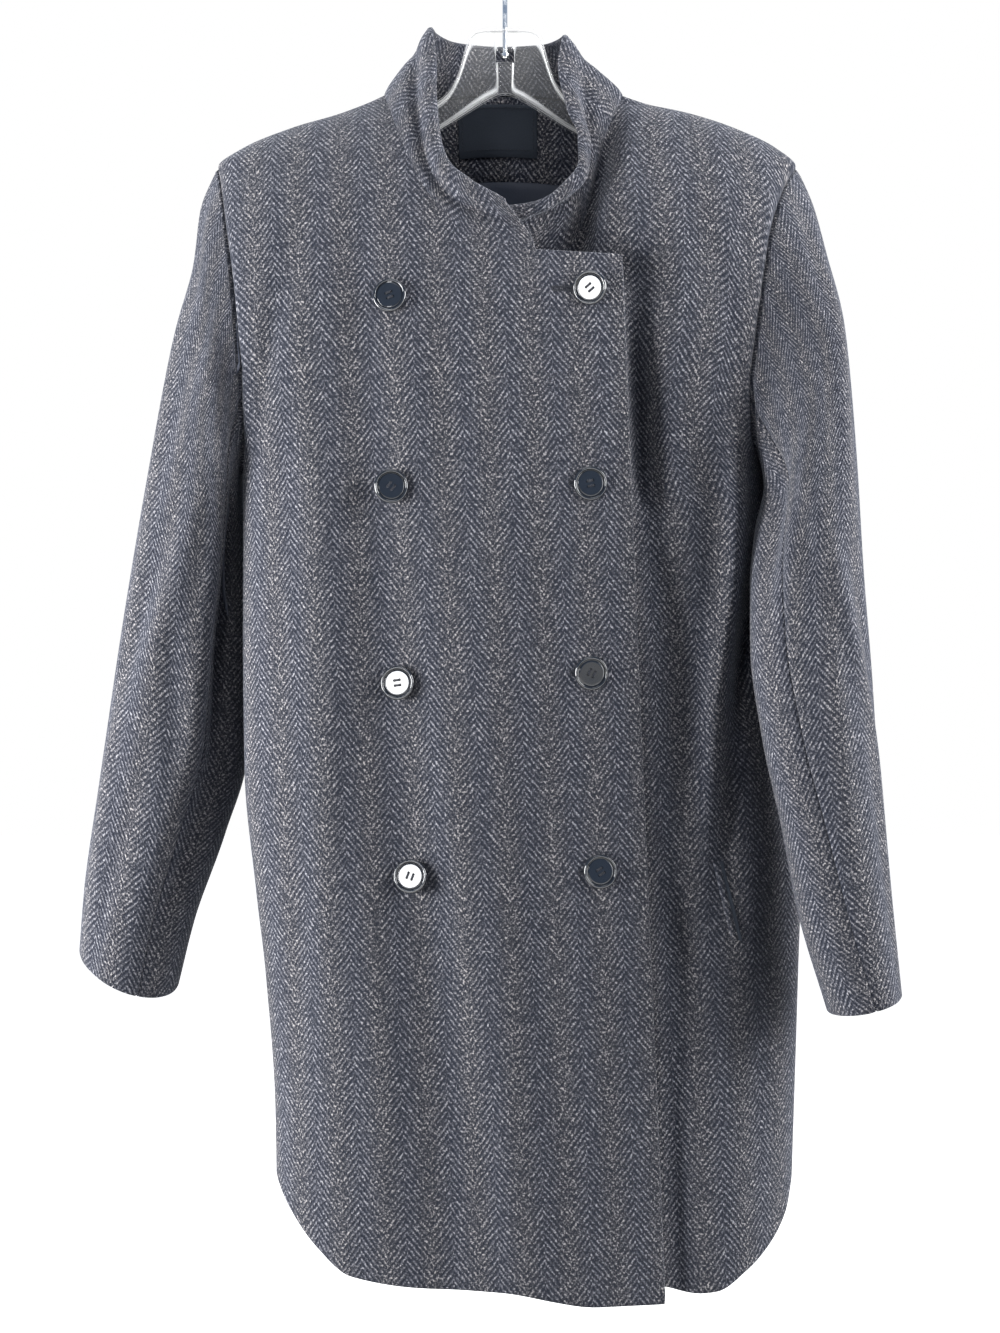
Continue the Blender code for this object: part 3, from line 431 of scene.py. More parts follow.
RIGHT_CREASES = table(
    Crease,
    (-0.168, -0.268, 14.0, 0.060, 0.010, -0.0022),
    (-0.186, -0.340, 8.0, 0.070, 0.009, -0.0026),
    (-0.150, -0.420, -6.0, 0.085, 0.011, 0.0016),
    (-0.045, -0.352, -9.0, 0.075, 0.013, -0.0016),
    (0.012, -0.420, 4.0, 0.110, 0.015, 0.0014),
    (0.046, -0.560, -5.0, 0.100, 0.012, -0.0016),
    (-0.118, -0.640, 3.0, 0.120, 0.011, -0.0020),
    (-0.036, -0.700, -7.0, 0.110, 0.013, 0.0018),
    (0.030, -0.800, -4.0, 0.130, 0.014, -0.0020),
    (-0.160, -0.820, 2.0, 0.110, 0.010, -0.0018),
    (-0.096, -0.910, -3.0, 0.120, 0.014, 0.0022),
    (0.075, -0.930, -3.0, 0.120, 0.013, 0.0016),
    (-0.012, -0.985, -6.0, 0.090, 0.012, -0.0018),
    (0.046, -1.010, -2.0, 0.070, 0.010, -0.0014),
)
LEFT_CREASES = table(
    Crease,
    (0.0775, -0.188, 14.0, 0.056, 0.0095, -0.0230),
    (0.038, -0.240, 90.0, 0.046, 0.028, -0.0310),
    (0.088, -0.262, 80.0, 0.034, 0.015, -0.0080),
    (0.110, -0.375, -4.0, 0.060, 0.010, -0.0060),
    (0.196, -0.565, 6.0, 0.055, 0.010, -0.0210),
    (0.172, -0.262, -16.0, 0.060, 0.010, -0.0022),
    (0.150, -0.300, -10.0, 0.070, 0.010, 0.0018),
    (0.190, -0.350, -8.0, 0.060, 0.008, -0.0022),
    (0.152, -0.470, -6.0, 0.080, 0.010, 0.0018),
    (0.181, -0.690, 5.0, 0.062, 0.009, -0.0070),
    (0.205, -0.760, 5.0, 0.070, 0.016, 0.0050),
    (0.160, -0.880, -6.0, 0.090, 0.011, -0.0022),
    (0.205, -0.930, 4.0, 0.080, 0.012, -0.0020),
    (0.150, -1.000, -3.0, 0.080, 0.011, 0.0016),
)
BACK_CREASES = table(
    Crease,
    (-0.150, -0.260, 20.0, 0.070, 0.012, -0.0024),
    (0.158, -0.262, -22.0, 0.065, 0.012, -0.0026),
    (-0.060, -0.300, 9.0, 0.090, 0.015, 0.0020),
    (0.070, -0.330, -7.0, 0.100, 0.016, 0.0018),
    (-0.160, -0.480, 5.0, 0.110, 0.013, -0.0026),
    (0.170, -0.520, -4.0, 0.120, 0.014, -0.0026),
    (-0.040, -0.600, -3.0, 0.140, 0.016, -0.0022),
    (0.060, -0.720, 4.0, 0.130, 0.015, 0.0024),
    (-0.130, -0.780, 2.0, 0.130, 0.014, -0.0024),
    (0.165, -0.840, -3.0, 0.110, 0.013, -0.0022),
    (-0.020, -0.920, 5.0, 0.110, 0.013, 0.0022),
    (0.105, -0.960, -2.0, 0.080, 0.012, -0.0018),
)


class SleeveCrease(NamedTuple):
    """A crease of a sleeve: its middle by section and turn, its drift, its reach and its rise."""

    row: float
    turn: float
    drift: float
    half_rows: float
    half_turn: float
    rise: float


SLEEVE_CREASES = {
    "right": table(
        SleeveCrease,
        (5.0, 141.0, -2.0, 2.6, 15.0, -0.0180),
        (5.0, 115.0, -2.0, 2.6, 10.0, 0.0030),
        (1.4, 28.0, 9.0, 1.2, 10.0, -0.0020),
        (2.6, 62.0, -8.0, 1.5, 11.0, -0.0034),
        (3.6, 30.0, 6.0, 1.6, 12.0, 0.0026),
        (4.6, 82.0, -14.0, 1.2, 11.0, 0.0034),
        (5.2, 52.0, -18.0, 1.0, 11.0, -0.0040),
        (5.9, 96.0, 16.0, 0.9, 12.0, -0.0034),
        (6.6, 40.0, 8.0, 1.3, 12.0, 0.0028),
        (7.6, 74.0, -6.0, 1.2, 11.0, -0.0026),
        (2.2, 300.0, 8.0, 1.6, 14.0, -0.0034),
        (4.4, 268.0, -14.0, 1.2, 13.0, 0.0036),
        (5.4, 310.0, 15.0, 1.1, 13.0, -0.0038),
        (6.8, 280.0, 6.0, 1.3, 12.0, 0.0028),
        (3.4, 215.0, 5.0, 1.6, 14.0, -0.0030),
    ),
    "left": table(
        SleeveCrease,
        (1.3, 34.0, 8.0, 1.1, 10.0, -0.0020),
        (2.4, 70.0, -9.0, 1.4, 11.0, -0.0036),
        (3.3, 40.0, 7.0, 1.5, 12.0, 0.0028),
        (3.2, 140.0, 0.0, 1.0, 17.0, -0.0120),
        (4.3, 96.0, -20.0, 1.1, 11.0, -0.0044),
        (5.0, 66.0, -22.0, 0.9, 11.0, 0.0036),
        (5.6, 34.0, -16.0, 0.9, 12.0, -0.0030),
        (6.3, 92.0, 12.0, 1.1, 12.0, 0.0030),
        (7.4, 58.0, 7.0, 1.3, 12.0, -0.0026),
        (2.0, 296.0, 9.0, 1.5, 14.0, -0.0034),
        (4.0, 262.0, -13.0, 1.2, 13.0, 0.0036),
        (5.2, 306.0, 16.0, 1.1, 13.0, -0.0038),
        (6.6, 276.0, 7.0, 1.3, 12.0, 0.0028),
        (3.2, 210.0, 5.0, 1.6, 14.0, -0.0030),
    ),
}

# Herringbone: where a pair of columns parts, the slant of its twill lines, its yarns and tints
CHEVRON_SPLIT = 0.43
TWILL_SLOPE = 1.278
TWILL_SIN = 0.788
TWILL_COS = 0.616
WANDER_ACROSS = 0.0022
WANDER_DOWN = 0.0026
FLECK_LENGTH = 0.0032
YARN_ACROSS = 0.0014
YARN_DOWN = 0.0016
SHEEN_TINT = (0.86, 0.90, 1.0, 1.0)
COOL_CAST = (0.96, 0.985, 1.07, 1.0)
WARM_CAST = (1.025, 1.0, 0.995, 1.0)

# Pitch of the finer weaves and of the thread's twist
LINING_RIB = 0.0011
LABEL_WARP = 0.00062
LABEL_WEFT = 0.00045
THREAD_PLY = 0.0007

# Grain of the cloth: where its measure down the cloth starts, and how finely its run is summed
GRAIN = "grain"
GRAIN_LEVEL = -0.6
GRAIN_STEPS = 48
HEM_TURNING = 0.045
CUFF_TURNING = 0.038
FRONT_FACING = 0.110


class RollRow(NamedTuple):
    """How far the collar's rolled edge stands out, and how deep the valley under it is."""

    along: float
    roll: float
    valley: float


COLLAR_ROLLS = table(
    RollRow,
    (0.00, 0.0026, 0.0016),
    (0.08, 0.0040, 0.0046),
    (0.17, 0.0044, 0.0064),
    (0.26, 0.0032, 0.0044),
    (0.32, 0.0008, 0.0006),
    (0.68, 0.0008, 0.0006),
    (0.74, 0.0024, 0.0030),
    (0.80, 0.0046, 0.0056),
    (0.88, 0.0054, 0.0070),
    (0.95, 0.0044, 0.0070),
    (1.00, 0.0030, 0.0040),
)
COLLAR_ROLL_DROP = 0.0085
COLLAR_ROLL_REACH = 0.0095
COLLAR_VALLEY_DROP = 0.0240
COLLAR_VALLEY_REACH = 0.0078
COLLAR_FLOW = 0.9
COLLAR_FLOW_REACH = 9
COLLAR_ROLL_FILL = 0.6

# What lies inside the back of the neck
FACING_FOOT_Z = -0.1610
# Brightening of the facing's tweed: painted light that lifts the shaded inside of the neck
FACING_PAINTED_LIGHT = 1.5
LINING_FOOT_Z = -0.2600
LABEL_FROM = Spot(-0.0370, -0.0990)
LABEL_TO = Spot(0.0310, -0.1390)
LABEL_STITCH = {"Spacing": 0.0032, "Length": 0.0019, "Thickness": 0.0006, "Upright": 0.0}

# Pocket edge on the left front
POCKET_TOP = Spot(0.1748, -0.7310)
POCKET_FOOT = Spot(0.1900, -0.7940)
POCKET_WIDTH = 0.0060
POCKET_LIFT = 0.0007
POCKET_RISE = 0.0021
# Width and rise of the dark slit, a strip of painted shade over the pocket's opening
POCKET_GAP = 0.0030
POCKET_SLIT_RISE = 0.0003
POCKET_TAPER_POWER = 6
POCKET_STEPS = 60
POCKET_CELLS = 12


class TurnPoint(NamedTuple):
    """A place on a turned outline."""

    radius: float
    height: float


BUTTON_OUTLINE = table(
    TurnPoint,
    (0.0096, 0.0000),
    (0.0124, 0.0003),
    (0.0134, 0.0014),
    (0.0135, 0.0026),
    (0.0130, 0.0037),
    (0.0122, 0.0042),
    (0.0114, 0.0039),
    (0.0109, 0.0029),
    (0.0105, 0.0025),
    (0.0102, 0.0028),
    (0.0098, 0.0031),
    (0.0092, 0.00316),
    (0.0060, 0.00314),
    (0.0030, 0.00312),
    (0.0002, 0.00312),
)
BUTTON_SEGMENTS = 64
BUTTON_OUTLINE_STEPS = 44
BUTTON_HOLES = 4
HOLE_RADIUS = 0.0011
HOLE_REACH = 0.0029
HOLE_SEGMENTS = 20
DRILL = ((HOLE_RADIUS, -0.01), (HOLE_RADIUS, 0.01))
BUTTON_SHARP = 38.0
BUTTON_STAND = 0.75
THREAD_RADIUS = 0.00042
THREAD_ARCH = 0.0037
THREAD_SUNK = 0.0006
THREAD_STEEPNESS = 2.6
THREAD_STEPS = 14
THREAD_SIDES = 8


class ButtonPose(NamedTuple):
    """How a sewn button sits: its spin, and how far its face turns aside and down, in degrees."""

    spin: float
    aside: float
    nod: float


BUTTONS = {
    "button_outer_1": ButtonPose(20.0, -10.0, -7.0),
    "button_outer_2": ButtonPose(52.0, 7.0, -2.0),
    "button_outer_3": ButtonPose(8.0, -9.7, -4.7),
    "button_outer_4": ButtonPose(71.0, -10.0, -9.7),
    "button_edge_1": ButtonPose(38.0, -14.7, 5.6),
    "button_edge_2": ButtonPose(12.0, 8.0, 2.0),
    "button_edge_3": ButtonPose(63.0, 9.0, 3.0),
    "button_edge_4": ButtonPose(30.0, 8.0, -3.0),
}

# Stitches: the sizes that their tree starts from, and the seed of their unevenness
STITCH_SIZES = {
    "Spacing": 0.001,
    "Length": 0.0015,
    "Thickness": 0.0005,
    "Upright": 0.0,
    "Unevenness": 0.12,
}
STITCH_SEED = 11

# Buttonholes on the lap: where their buttons are, and the ends measured from there
EDGE_BUTTONS = table(
    Spot,
    (0.0707, -0.2785),
    (0.0707, -0.4315),
    (0.0714, -0.5807),
    (0.0785, -0.7369),
)
BUTTONHOLE_FROM = (-0.0285, -0.0152, -0.0150, -0.0152)
BUTTONHOLE_TO = 0.0030
BUTTONHOLE_HALF = 0.0013
BUTTONHOLE_STEPS = 28
BUTTONHOLE_LIFT = 0.0002
BUTTONHOLE_END_REACH = 1.3
BUTTONHOLE_TURN_STEPS = 8
BUTTONHOLE_UNEVENNESS = 0.14


class HangerRow(NamedTuple):
    """One section of the hanger's half: its top and low places and the thickness of its web."""

    top_reach: float
    top_z: float
    low_reach: float
    low_z: float
    web: float


HANGER_HEAD = table(
    HangerRow,
    (0.0000, -0.0520, 0.0000, -0.1070, 0.012),
    (0.0060, -0.0520, 0.0040, -0.1075, 0.012),
    (0.0075, -0.0520, 0.0055, -0.1080, 0.0025),
    (0.0230, -0.0520, 0.0110, -0.1105, 0.0025),
    (0.0300, -0.0570, 0.0190, -0.1150, 0.0025),
    (0.0355, -0.0780, 0.0300, -0.1220, 0.0025),
    (0.0410, -0.0970, 0.0420, -0.1295, 0.0025),
    (0.0520, -0.1115, 0.0580, -0.1395, 0.0025),
    (0.0760, -0.1180, 0.0820, -0.1500, 0.0025),
)
HANGER_ARM_REACHES = (0.105, 0.135, 0.165, 0.190, 0.212)
HANGER_ARM_WEB = 0.0025
HANGER_ARM_HEIGHTS = (0.034, 0.017)
HANGER_UNDER_RIDGE = 0.0042
HANGER_RIM = 0.0045
HANGER_RIM_HEIGHT = 0.005
HANGER_CROWN = (0.0010, 0.0034)
# Place and half width of the line along the hanger's rim: a painted highlight for the light that
# the clear rim bends and reflects
PAINTED_RIM_HIGHLIGHT = 0.0031
PAINTED_RIM_HIGHLIGHT_HALF = 0.0009
HANGER_ROUNDING = 2
HANGER_SHARP = 50.0

# Window in the hanger's head, where the end of the wire is held
WINDOW_FROM = Spot(-0.0075, -0.0812)
WINDOW_TO = Spot(0.0075, -0.0700)
WINDOW_DEPTH = 0.06
WIRE_RADIUS = 0.0019
WIRE_TOP_Z = -0.0518
WIRE_FOOT_Z = -0.0765
NUT_RADIUS = 0.0034
NUT_HALF = 0.0016
WIRE_BEVEL = 0.0006
NUT_BEVEL = 0.0004
WIRE_SEGMENTS = 24
WIRE_SHARP = 40.0

# View of the photo
CAMERA_PLACE = (-0.0041, -1.70, -0.5756)
CAMERA_REACH = 1.70
PIXEL = 0.00082
HALF_FRAME = 666.5
SENSOR_HEIGHT = 24.0

# Studio: how far its floor reaches, what its lights face, and the tint of the light all round
WHITE = (1.0, 1.0, 1.0, 1.0)
FLOOR_REACH = 9.0
LIGHT_AIM = (0.0, 0.0, -0.55)
SURROUND_COLOUR = (0.62, 0.86, 1.30, 1.0)


class Lamp(NamedTuple):
    """A square soft light: its name, place and width, and the stage's value for its power."""

    name: str
    place: tuple
    width: float
    power: str


LAMPS = table(
    Lamp,
    ("left_light", (-1.75, -0.48, -0.52), 1.1, "left_power"),
    ("fill_light", (1.5, -1.20, -0.55), 1.0, "fill_power"),
    ("right_light", (1.6, -0.40, 0.10), 1.1, "right_power"),
    ("top_light", (0.0, -0.25, 0.35), 0.5, "top_power"),
    ("window_light", (-0.80, -1.80, -0.30), 0.30, "window_power"),
)


def through(knots, values, at):
    """Smooth curve through the values at rising knots, with no overshoot between them."""
    knots = np.asarray(knots, float)
    values = np.asarray(values, float)
    step = np.diff(knots)
    slope = np.diff(values) / step
    lean = np.concatenate((slope[:1], np.zeros(len(slope) - 1), slope[-1:]))
    product = slope[1:] * slope[:-1]
    total = np.where(product > 0, slope[1:] + slope[:-1], 1.0)
    lean[1:-1] = np.where(product > 0, 2 * product / total, 0.0)
    at = np.clip(at, knots[0], knots[-1])
    cell = np.clip(np.searchsorted(knots, at, side="right") - 1, 0, len(step) - 1)
    share = (at - knots[cell]) / step[cell]
    rest = 1 - share
    ends = values[cell] * (1 + 2 * share) * rest**2 + values[cell + 1] * (3 - 2 * share) * share**2
    leans = step[cell] * (lean[cell] * share * rest**2 - lean[cell + 1] * share**2 * rest)
    return ends + leans


def column(rows, name):
    """One named column of a table."""
    return np.array([getattr(row, name) for row in rows])


def level(rows, name, z):
    """A column of a table whose rows run downwards, at the given heights."""
    return through(-column(rows, "z"), column(rows, name), -np.asarray(z, float))


def smoothstep(value):
    """Soft step from 0 to 1."""
    value = np.clip(value, 0, 1)
    return value * value * (3 - 2 * value)


def depth(x, z, face):
    """How far a face stands from the shoulder line, where it is seen at x and z."""
    half = np.where(x < 0, level(BODY, "right", z), level(BODY, "left", z))
    power = BACK_POWER
    if face == "front":
        power = np.where(x < 0, level(BODY, "right_power", z), level(BODY, "left_power", z))
    share = np.clip(np.abs(x) / half, 0, 1)
    return level(BODY, face, z) * (1 - share**power) ** (1 / power)


def folds_at(folds, x, z):
    """How far the long folds push the cloth out."""
    push = np.zeros(np.broadcast_shapes(np.shape(x), np.shape(z)))
    for rows in folds:
        off = (x - level(rows, "x", z)) / level(rows, "half_width", z)
        inside = (z <= rows[0].z) & (z >= rows[-1].z)
        push += np.where(inside, level(rows, "rise", z), 0) * np.exp(-(off**2))
    return push


def creases_at(creases, x, z):
    """How far the short creases push the cloth out."""
    push = np.zeros(np.broadcast_shapes(np.shape(x), np.shape(z)))
    for crease in creases:
        lean = math.radians(crease.lean)
        right, up = x - crease.x, z - crease.z
        along = (up * math.cos(lean) + right * math.sin(lean)) / crease.half_length
        across = (right * math.cos(lean) - up * math.sin(lean)) / crease.half_width
        push += crease.rise * np.exp(-(along**2) - across**2)
    return push


class Cut(NamedTuple):
    """A panel's face, the folds and creases that lie in it, and whether a lap lies over it."""

    face: str
    folds: tuple
    creases: tuple
    lapped: bool


FRONT_CUTS = {
    "right": Cut("front", RIGHT_FOLDS, RIGHT_CREASES, False),
    "left": Cut("front", RIGHT_FOLDS + LEFT_FOLDS, RIGHT_CREASES + LEFT_CREASES, True),
}
BACK_CUT = Cut("back", BACK_FOLDS, BACK_CREASES, False)


def cloth_y(cut, x, z):
    """Y of a panel's outer face, with folds and creases fading out towards its seams."""
    stand = depth(x, z, cut.face)
    fade = smoothstep(stand / (FOLD_SEAM_FADE * level(BODY, cut.face, z)))
    push = folds_at(cut.folds, x, z) + creases_at(cut.creases, x, z)
    if cut.lapped:
        start, end = UNDERLAP_FADE
        push = push - UNDERLAP_INSET * (1 - smoothstep((x - start) / (end - start)))
    out = np.maximum(np.maximum(stand + fade * push, LEAST_STAND * stand), SEAM / 2)
    return -out if cut.face == "front" else out


def cloth_normals(cut, x, z):
    """Directions square to a panel's outer face."""
    lean_x = (cloth_y(cut, x + PROBE, z) - cloth_y(cut, x - PROBE, z)) / (2 * PROBE)
    lean_z = (cloth_y(cut, x, z + PROBE) - cloth_y(cut, x, z - PROBE)) / (2 * PROBE)
    normals = np.stack((-lean_x, np.ones_like(lean_x), -lean_z), axis=-1)
    normals /= np.linalg.norm(normals, axis=-1, keepdims=True)
    return -normals if cut.face == "front" else normals


def on_cloth(cut, x, z, lift=0.0):
    """Places that lie at a height over a panel's outer face."""
    faces = np.stack((x + COAT_OFF_HOOK, cloth_y(cut, x, z), z), axis=-1)
    return faces + lift * cloth_normals(cut, x, z)


def line_points(spots, count):
    """Evenly spaced places along a smooth line through a few spots."""
    places = np.array(spots)
    run = np.concatenate(([0], np.cumsum(np.linalg.norm(np.diff(places, axis=0), axis=1))))
    at = np.linspace(0, run[-1], count + 1)
    return np.column_stack([through(run, places[:, axis], at) for axis in (0, 1)])


def shoulder_points(side, count=SHOULDER_COLUMNS):
    """Places along a shoulder seam from the neck outwards."""
    sign = -1 if side == "right" else 1
    z = np.linspace(NECK_POINT_Z, SHOULDER_Z, count + 1)
    return np.column_stack((sign * level(BODY, side, z), z))


def ridge_z(x):
    """Height of the shoulder seam at a distance from the middle line."""
    places = shoulder_points("right" if x < 0 else "left", RIDGE_STEPS)
    return float(np.interp(abs(x), np.abs(places[:, 0]), places[:, 1]))


def side_levels():
    """Heights of the rows where they meet the armhole and the side seam."""
    turn = np.linspace(0, math.pi, ARMHOLE_ROWS + 1)
    armhole = (SHOULDER_Z + UNDERARM_Z) / 2 + (SHOULDER_Z - UNDERARM_Z) / 2 * np.cos(turn)
    return np.concatenate((armhole, np.linspace(UNDERARM_Z, SIDE_HEM_Z, SIDE_ROWS + 1)[1:]))


def side_x(side, z):
    """Where the armhole or the side seam lies at each height."""
    sign = -1 if side == "right" else 1
    return sign * np.where(z > UNDERARM_Z, level(ARMHOLES, side, z), level(BODY, side, z))


def runs(grid, axis):
    """Distance run along each row (axis 1) or column (axis 0) of a grid of places."""
    steps = np.linalg.norm(np.diff(grid, axis=axis), axis=-1)
    start = np.zeros_like(np.take(steps, [0], axis=axis))
    return np.concatenate((start, np.cumsum(steps, axis=axis)), axis=axis)


class Panel(NamedTuple):
    """Rows and columns of places on a panel, the directions square to it, and its grain."""

    places: np.ndarray
    normals: np.ndarray
    grain: np.ndarray


def panel(cut, top, first_x, last_x, hem, grain_x):
    """A panel from its top seams down to its hem; its columns bend in only near the armholes."""
    levels = side_levels()
    fall = ((levels - levels[0]) / (levels[-1] - levels[0]))[:, None]
    share = (top[:, 0] - top[0, 0]) / (top[-1, 0] - top[0, 0])
    x = first_x[0] + (first_x[-1] - first_x[0]) * fall
    x = x + (last_x[0] + (last_x[-1] - last_x[0]) * fall - x) * share
    for edge_x, near in ((first_x, 1 - share), (last_x, share)):
        bend = edge_x - (edge_x[0] + (edge_x[-1] - edge_x[0]) * fall[:, 0])
        x = x + bend[:, None] * near**ARMHOLE_BEND_POWER
    hem_z = through(column(hem, "x"), column(hem, "z"), x[-1])
    z = top[:, 1] + (hem_z - top[:, 1]) * fall
    places = on_cloth(cut, x, z)
    grain = np.stack((cloth_run(cut, grain_x(z), x, z), grain_fall(places)), axis=2)
    return Panel(places, cloth_normals(cut, x, z), grain)


def cloth_run(cut, start, x, z):
    """Distance over the cloth, at one height, from a start line to each place."""
    share = np.linspace(0, 1, GRAIN_STEPS + 1)
    across = np.asarray(start)[..., None] + (x - start)[..., None] * share
    out = cloth_y(cut, across, z[..., None])
    steps = np.sqrt(np.diff(across) ** 2 + np.diff(out) ** 2)
    return np.sign(x - start) * steps.sum(axis=-1)


def grain_fall(places):
    """Distance up each column of a grid from the level where the grain's measure starts."""
    fallen = runs(places, 0)
    for col in range(places.shape[1]):
        fallen[:, col] -= np.interp(-GRAIN_LEVEL, -places[:, col, 2], fallen[:, col])
    return -fallen


def lap_line(z):
    """X of the lap's front edge at each height."""
    share = (z - LAP_CORNER.z) / (LAP_FOOT.z - LAP_CORNER.z)
    return LAP_CORNER.x + (LAP_FOOT.x - LAP_CORNER.x) * share


def middle_line(z):
    """X of the back's middle at each height."""
    return np.zeros_like(z)


def straight(corner, foot):
    """X of a straight front edge at each row."""
    levels = side_levels()
    fall = (levels - levels[0]) / (levels[-1] - levels[0])
    return corner.x + (foot.x - corner.x) * fall


def front_panel(side):
    """The right front with its lap, or the left front with the part that runs under it."""
    right = side == "right"
    neck = RIGHT_NECK if right else LEFT_NECK
    corner = LAP_CORNER if right else UNDERLAP_CORNER
    foot = LAP_FOOT if right else UNDERLAP_FOOT
    lap = line_points((corner, neck[-1]), LAP_COLUMNS)
    top = np.vstack((lap, line_points(neck, NECK_COLUMNS)[::-1][1:], shoulder_points(side)[1:]))
    hem = RIGHT_HEM if right else LEFT_HEM
    ends = straight(corner, foot), side_x(side, side_levels())
    return panel(FRONT_CUTS[side], top, *ends, hem, lap_line)


def back_panel():
    """The back, from the right armhole round to the left one."""
    right = shoulder_points("right")[::-1]
    left = shoulder_points("left")
    span = np.linspace(right[-1, 0], left[0, 0], BACK_NECK_COLUMNS + 1)[1:-1]
    bend = 1 - (span / np.where(span < 0, right[-1, 0], left[0, 0])) ** 2
    neck = np.column_stack((span, NECK_POINT_Z + BACK_NECK_RISE * bend))
    levels = side_levels()
    sides = side_x("right", levels), side_x("left", levels)
    return panel(BACK_CUT, np.vstack((right, neck, left)), *sides, BACK_HEM, middle_line)


def normals_of(grid, outward):
    """Unit normals of a grid of places, on the side that the outward hint points to."""
    normal = np.cross(np.gradient(grid, axis=1), np.gradient(grid, axis=0))
    normal /= np.linalg.norm(normal, axis=2, keepdims=True)
    return normal if np.sum(normal * outward) > 0 else -normal


def seam_dip(distance):
    """Share of the dip of a sewn seam at a distance from it."""
    return np.exp(-((distance / SEAM_REACH) ** 2))


def collar_grid(right, back, left):
    """Rows of the stand collar from the neck seam up to its top edge."""
    start, end = LAP_COLUMNS, LAP_COLUMNS + NECK_COLUMNS
    seats = (
        (right, range(start, end + 1)),
        (back, range(SHOULDER_COLUMNS + 1, SHOULDER_COLUMNS + BACK_NECK_COLUMNS)),
        (left, range(end, start - 1, -1)),
    )
    base = np.vstack([piece.places[0, cols] for piece, cols in seats])
    along = collar_along()
    knots = column(COLLAR_EDGE, "along")
    edge = np.column_stack([through(knots, column(COLLAR_EDGE, axis), along) for axis in "xyz"])
    edge[:, 0] += COAT_OFF_HOOK
    rise = edge - base
    tall = np.linalg.norm(rise, axis=1, keepdims=True)
    flow = np.vstack([piece.places[0, cols] - piece.places[1, cols] for piece, cols in seats])
    flow = even_out(flow / np.linalg.norm(flow, axis=1, keepdims=True))
    share = np.linspace(0, 1, COLLAR_ROWS + 1)[:, None, None]
    bend = COLLAR_FLOW * (flow * tall - rise) * share * (1 - share) ** 2
    grid = base + rise * share + bend
    swell = through(knots, column(COLLAR_EDGE, "swell"), along)[:, None]
    return grid + normals_of(grid, away_from_neck(grid)) * swell * np.sin(math.pi * share)


def collar_along():
    """Where each column of the collar lies, from 0 at its right end to 1 at its left end."""
    front = np.linspace(0, COLLAR_FRONT_SHARE, NECK_COLUMNS + 1)
    rear = np.linspace(COLLAR_FRONT_SHARE, 1 - COLLAR_FRONT_SHARE, BACK_NECK_COLUMNS + 1)[1:-1]
    return np.concatenate((front, rear, 1 - front[::-1]))


def even_out(rows):
    """Rows of directions, each averaged with its neighbours."""
    reach = np.arange(-COLLAR_FLOW_REACH, COLLAR_FLOW_REACH + 1)
    near = np.clip(np.arange(len(rows))[:, None] + reach, 0, len(rows) - 1)
    return rows[near].mean(axis=1)


def away_from_neck(grid):
    """Directions from the middle of the neck outwards."""
    middle = np.array((COAT_OFF_HOOK, 0.0, 0.0))
    return (grid - middle) * np.array((1, 1, 0))


def body_edge(y, z, side):
    """Half width of the body at a distance before or behind the shoulder line."""
    reach = np.where(y < 0, level(BODY, "front", z), level(BODY, "back", z))
    power = np.where(y < 0, level(BODY, f"{side}_power", z), BACK_POWER)
    share = np.clip(np.abs(y) / reach, 0, 1)
    return level(BODY, side, z) * (1 - share**power) ** (1 / power)


class Sleeve(NamedTuple):
    """Rings of a sleeve's outer and inner faces, from its armhole to its cuff."""

    outer: np.ndarray
    inner: np.ndarray


def sleeve_rings(rows, side, dip):
    """A sleeve whose rings go down its front and up its back, with its creases and seams."""
    sign = -1 if side == "right" else 1
    levels = side_levels()[: ARMHOLE_ROWS + 1]
    turn = np.linspace(0, math.pi, ARMHOLE_ROWS + 1)
    ring = np.concatenate((turn, 2 * math.pi - turn[1:-1][::-1]))
    loop_z = np.concatenate((levels, levels[1:-1][::-1]))
    loop_x = side_x(side, loop_z)
    loop_x[ARMHOLE_ROWS] = sign * level(ARMHOLES, side, UNDERARM_Z)
    front = cloth_y(FRONT_CUTS[side]._replace(lapped=False), loop_x, loop_z)
    loop_y = np.where(ring <= math.pi, front, cloth_y(BACK_CUT, loop_x, loop_z))
    loop_y[[0, ARMHOLE_ROWS]] = 0
    chord = rows[0].inner_x + (rows[0].outer_x - rows[0].inner_x) * (1 + np.cos(ring)) / 2
    at = np.linspace(0, len(rows) - 1, SLEEVE_RINGS + 1)[:, None]
    value = {name: through(range(len(rows)), column(rows, name), at) for name in SleeveRow._fields}
    blend = smoothstep(at / SLEEVE_BLEND_ROWS)
    angle = ring + np.radians(value["turn"])
    share = (1 + np.cos(angle)) / 2
    x = value["inner_x"] + (value["outer_x"] - value["inner_x"]) * share
    x = x + (1 - blend) * (loop_x - chord)
    y = (1 - blend) * loop_y - blend * value["half_depth"] * np.sin(angle) + value["mid_y"]
    z = value["inner_z"] + (value["outer_z"] - value["inner_z"]) * share
    z = z - value["droop"] * np.sin(angle)
    x[0] += sign * SEAM
    rise = SLEEVE_HOLD_RISE * smoothstep(-y / SLEEVE_HOLD_FRONT)
    below = smoothstep((UNDERARM_Z + rise - z) / SLEEVE_HOLD_FADE)
    hold = level(ARMHOLES, side, z) * (1 - below) + body_edge(y, z, side) * below
    x[1:] = sign * np.maximum(sign * x, hold + SLEEVE_CLEARANCE)[1:]
    rings = np.stack((x + COAT_OFF_HOOK, y, z), axis=2)
    square = ring_normals(rings)
    push = sleeve_creases(side, at, ring)
    for seam in sleeve_seams():
        push = push - dip * seam_dip(ring_distance(rings, seam))
    sunk = dip * seam_dip(runs(rings, 0))[..., None]
    outer = rings + square * push[..., None]
    outer = outer - seam_normals(side, ring, loop_x, loop_z) * sunk
    return Sleeve(outer, outer - CLOTH * square)


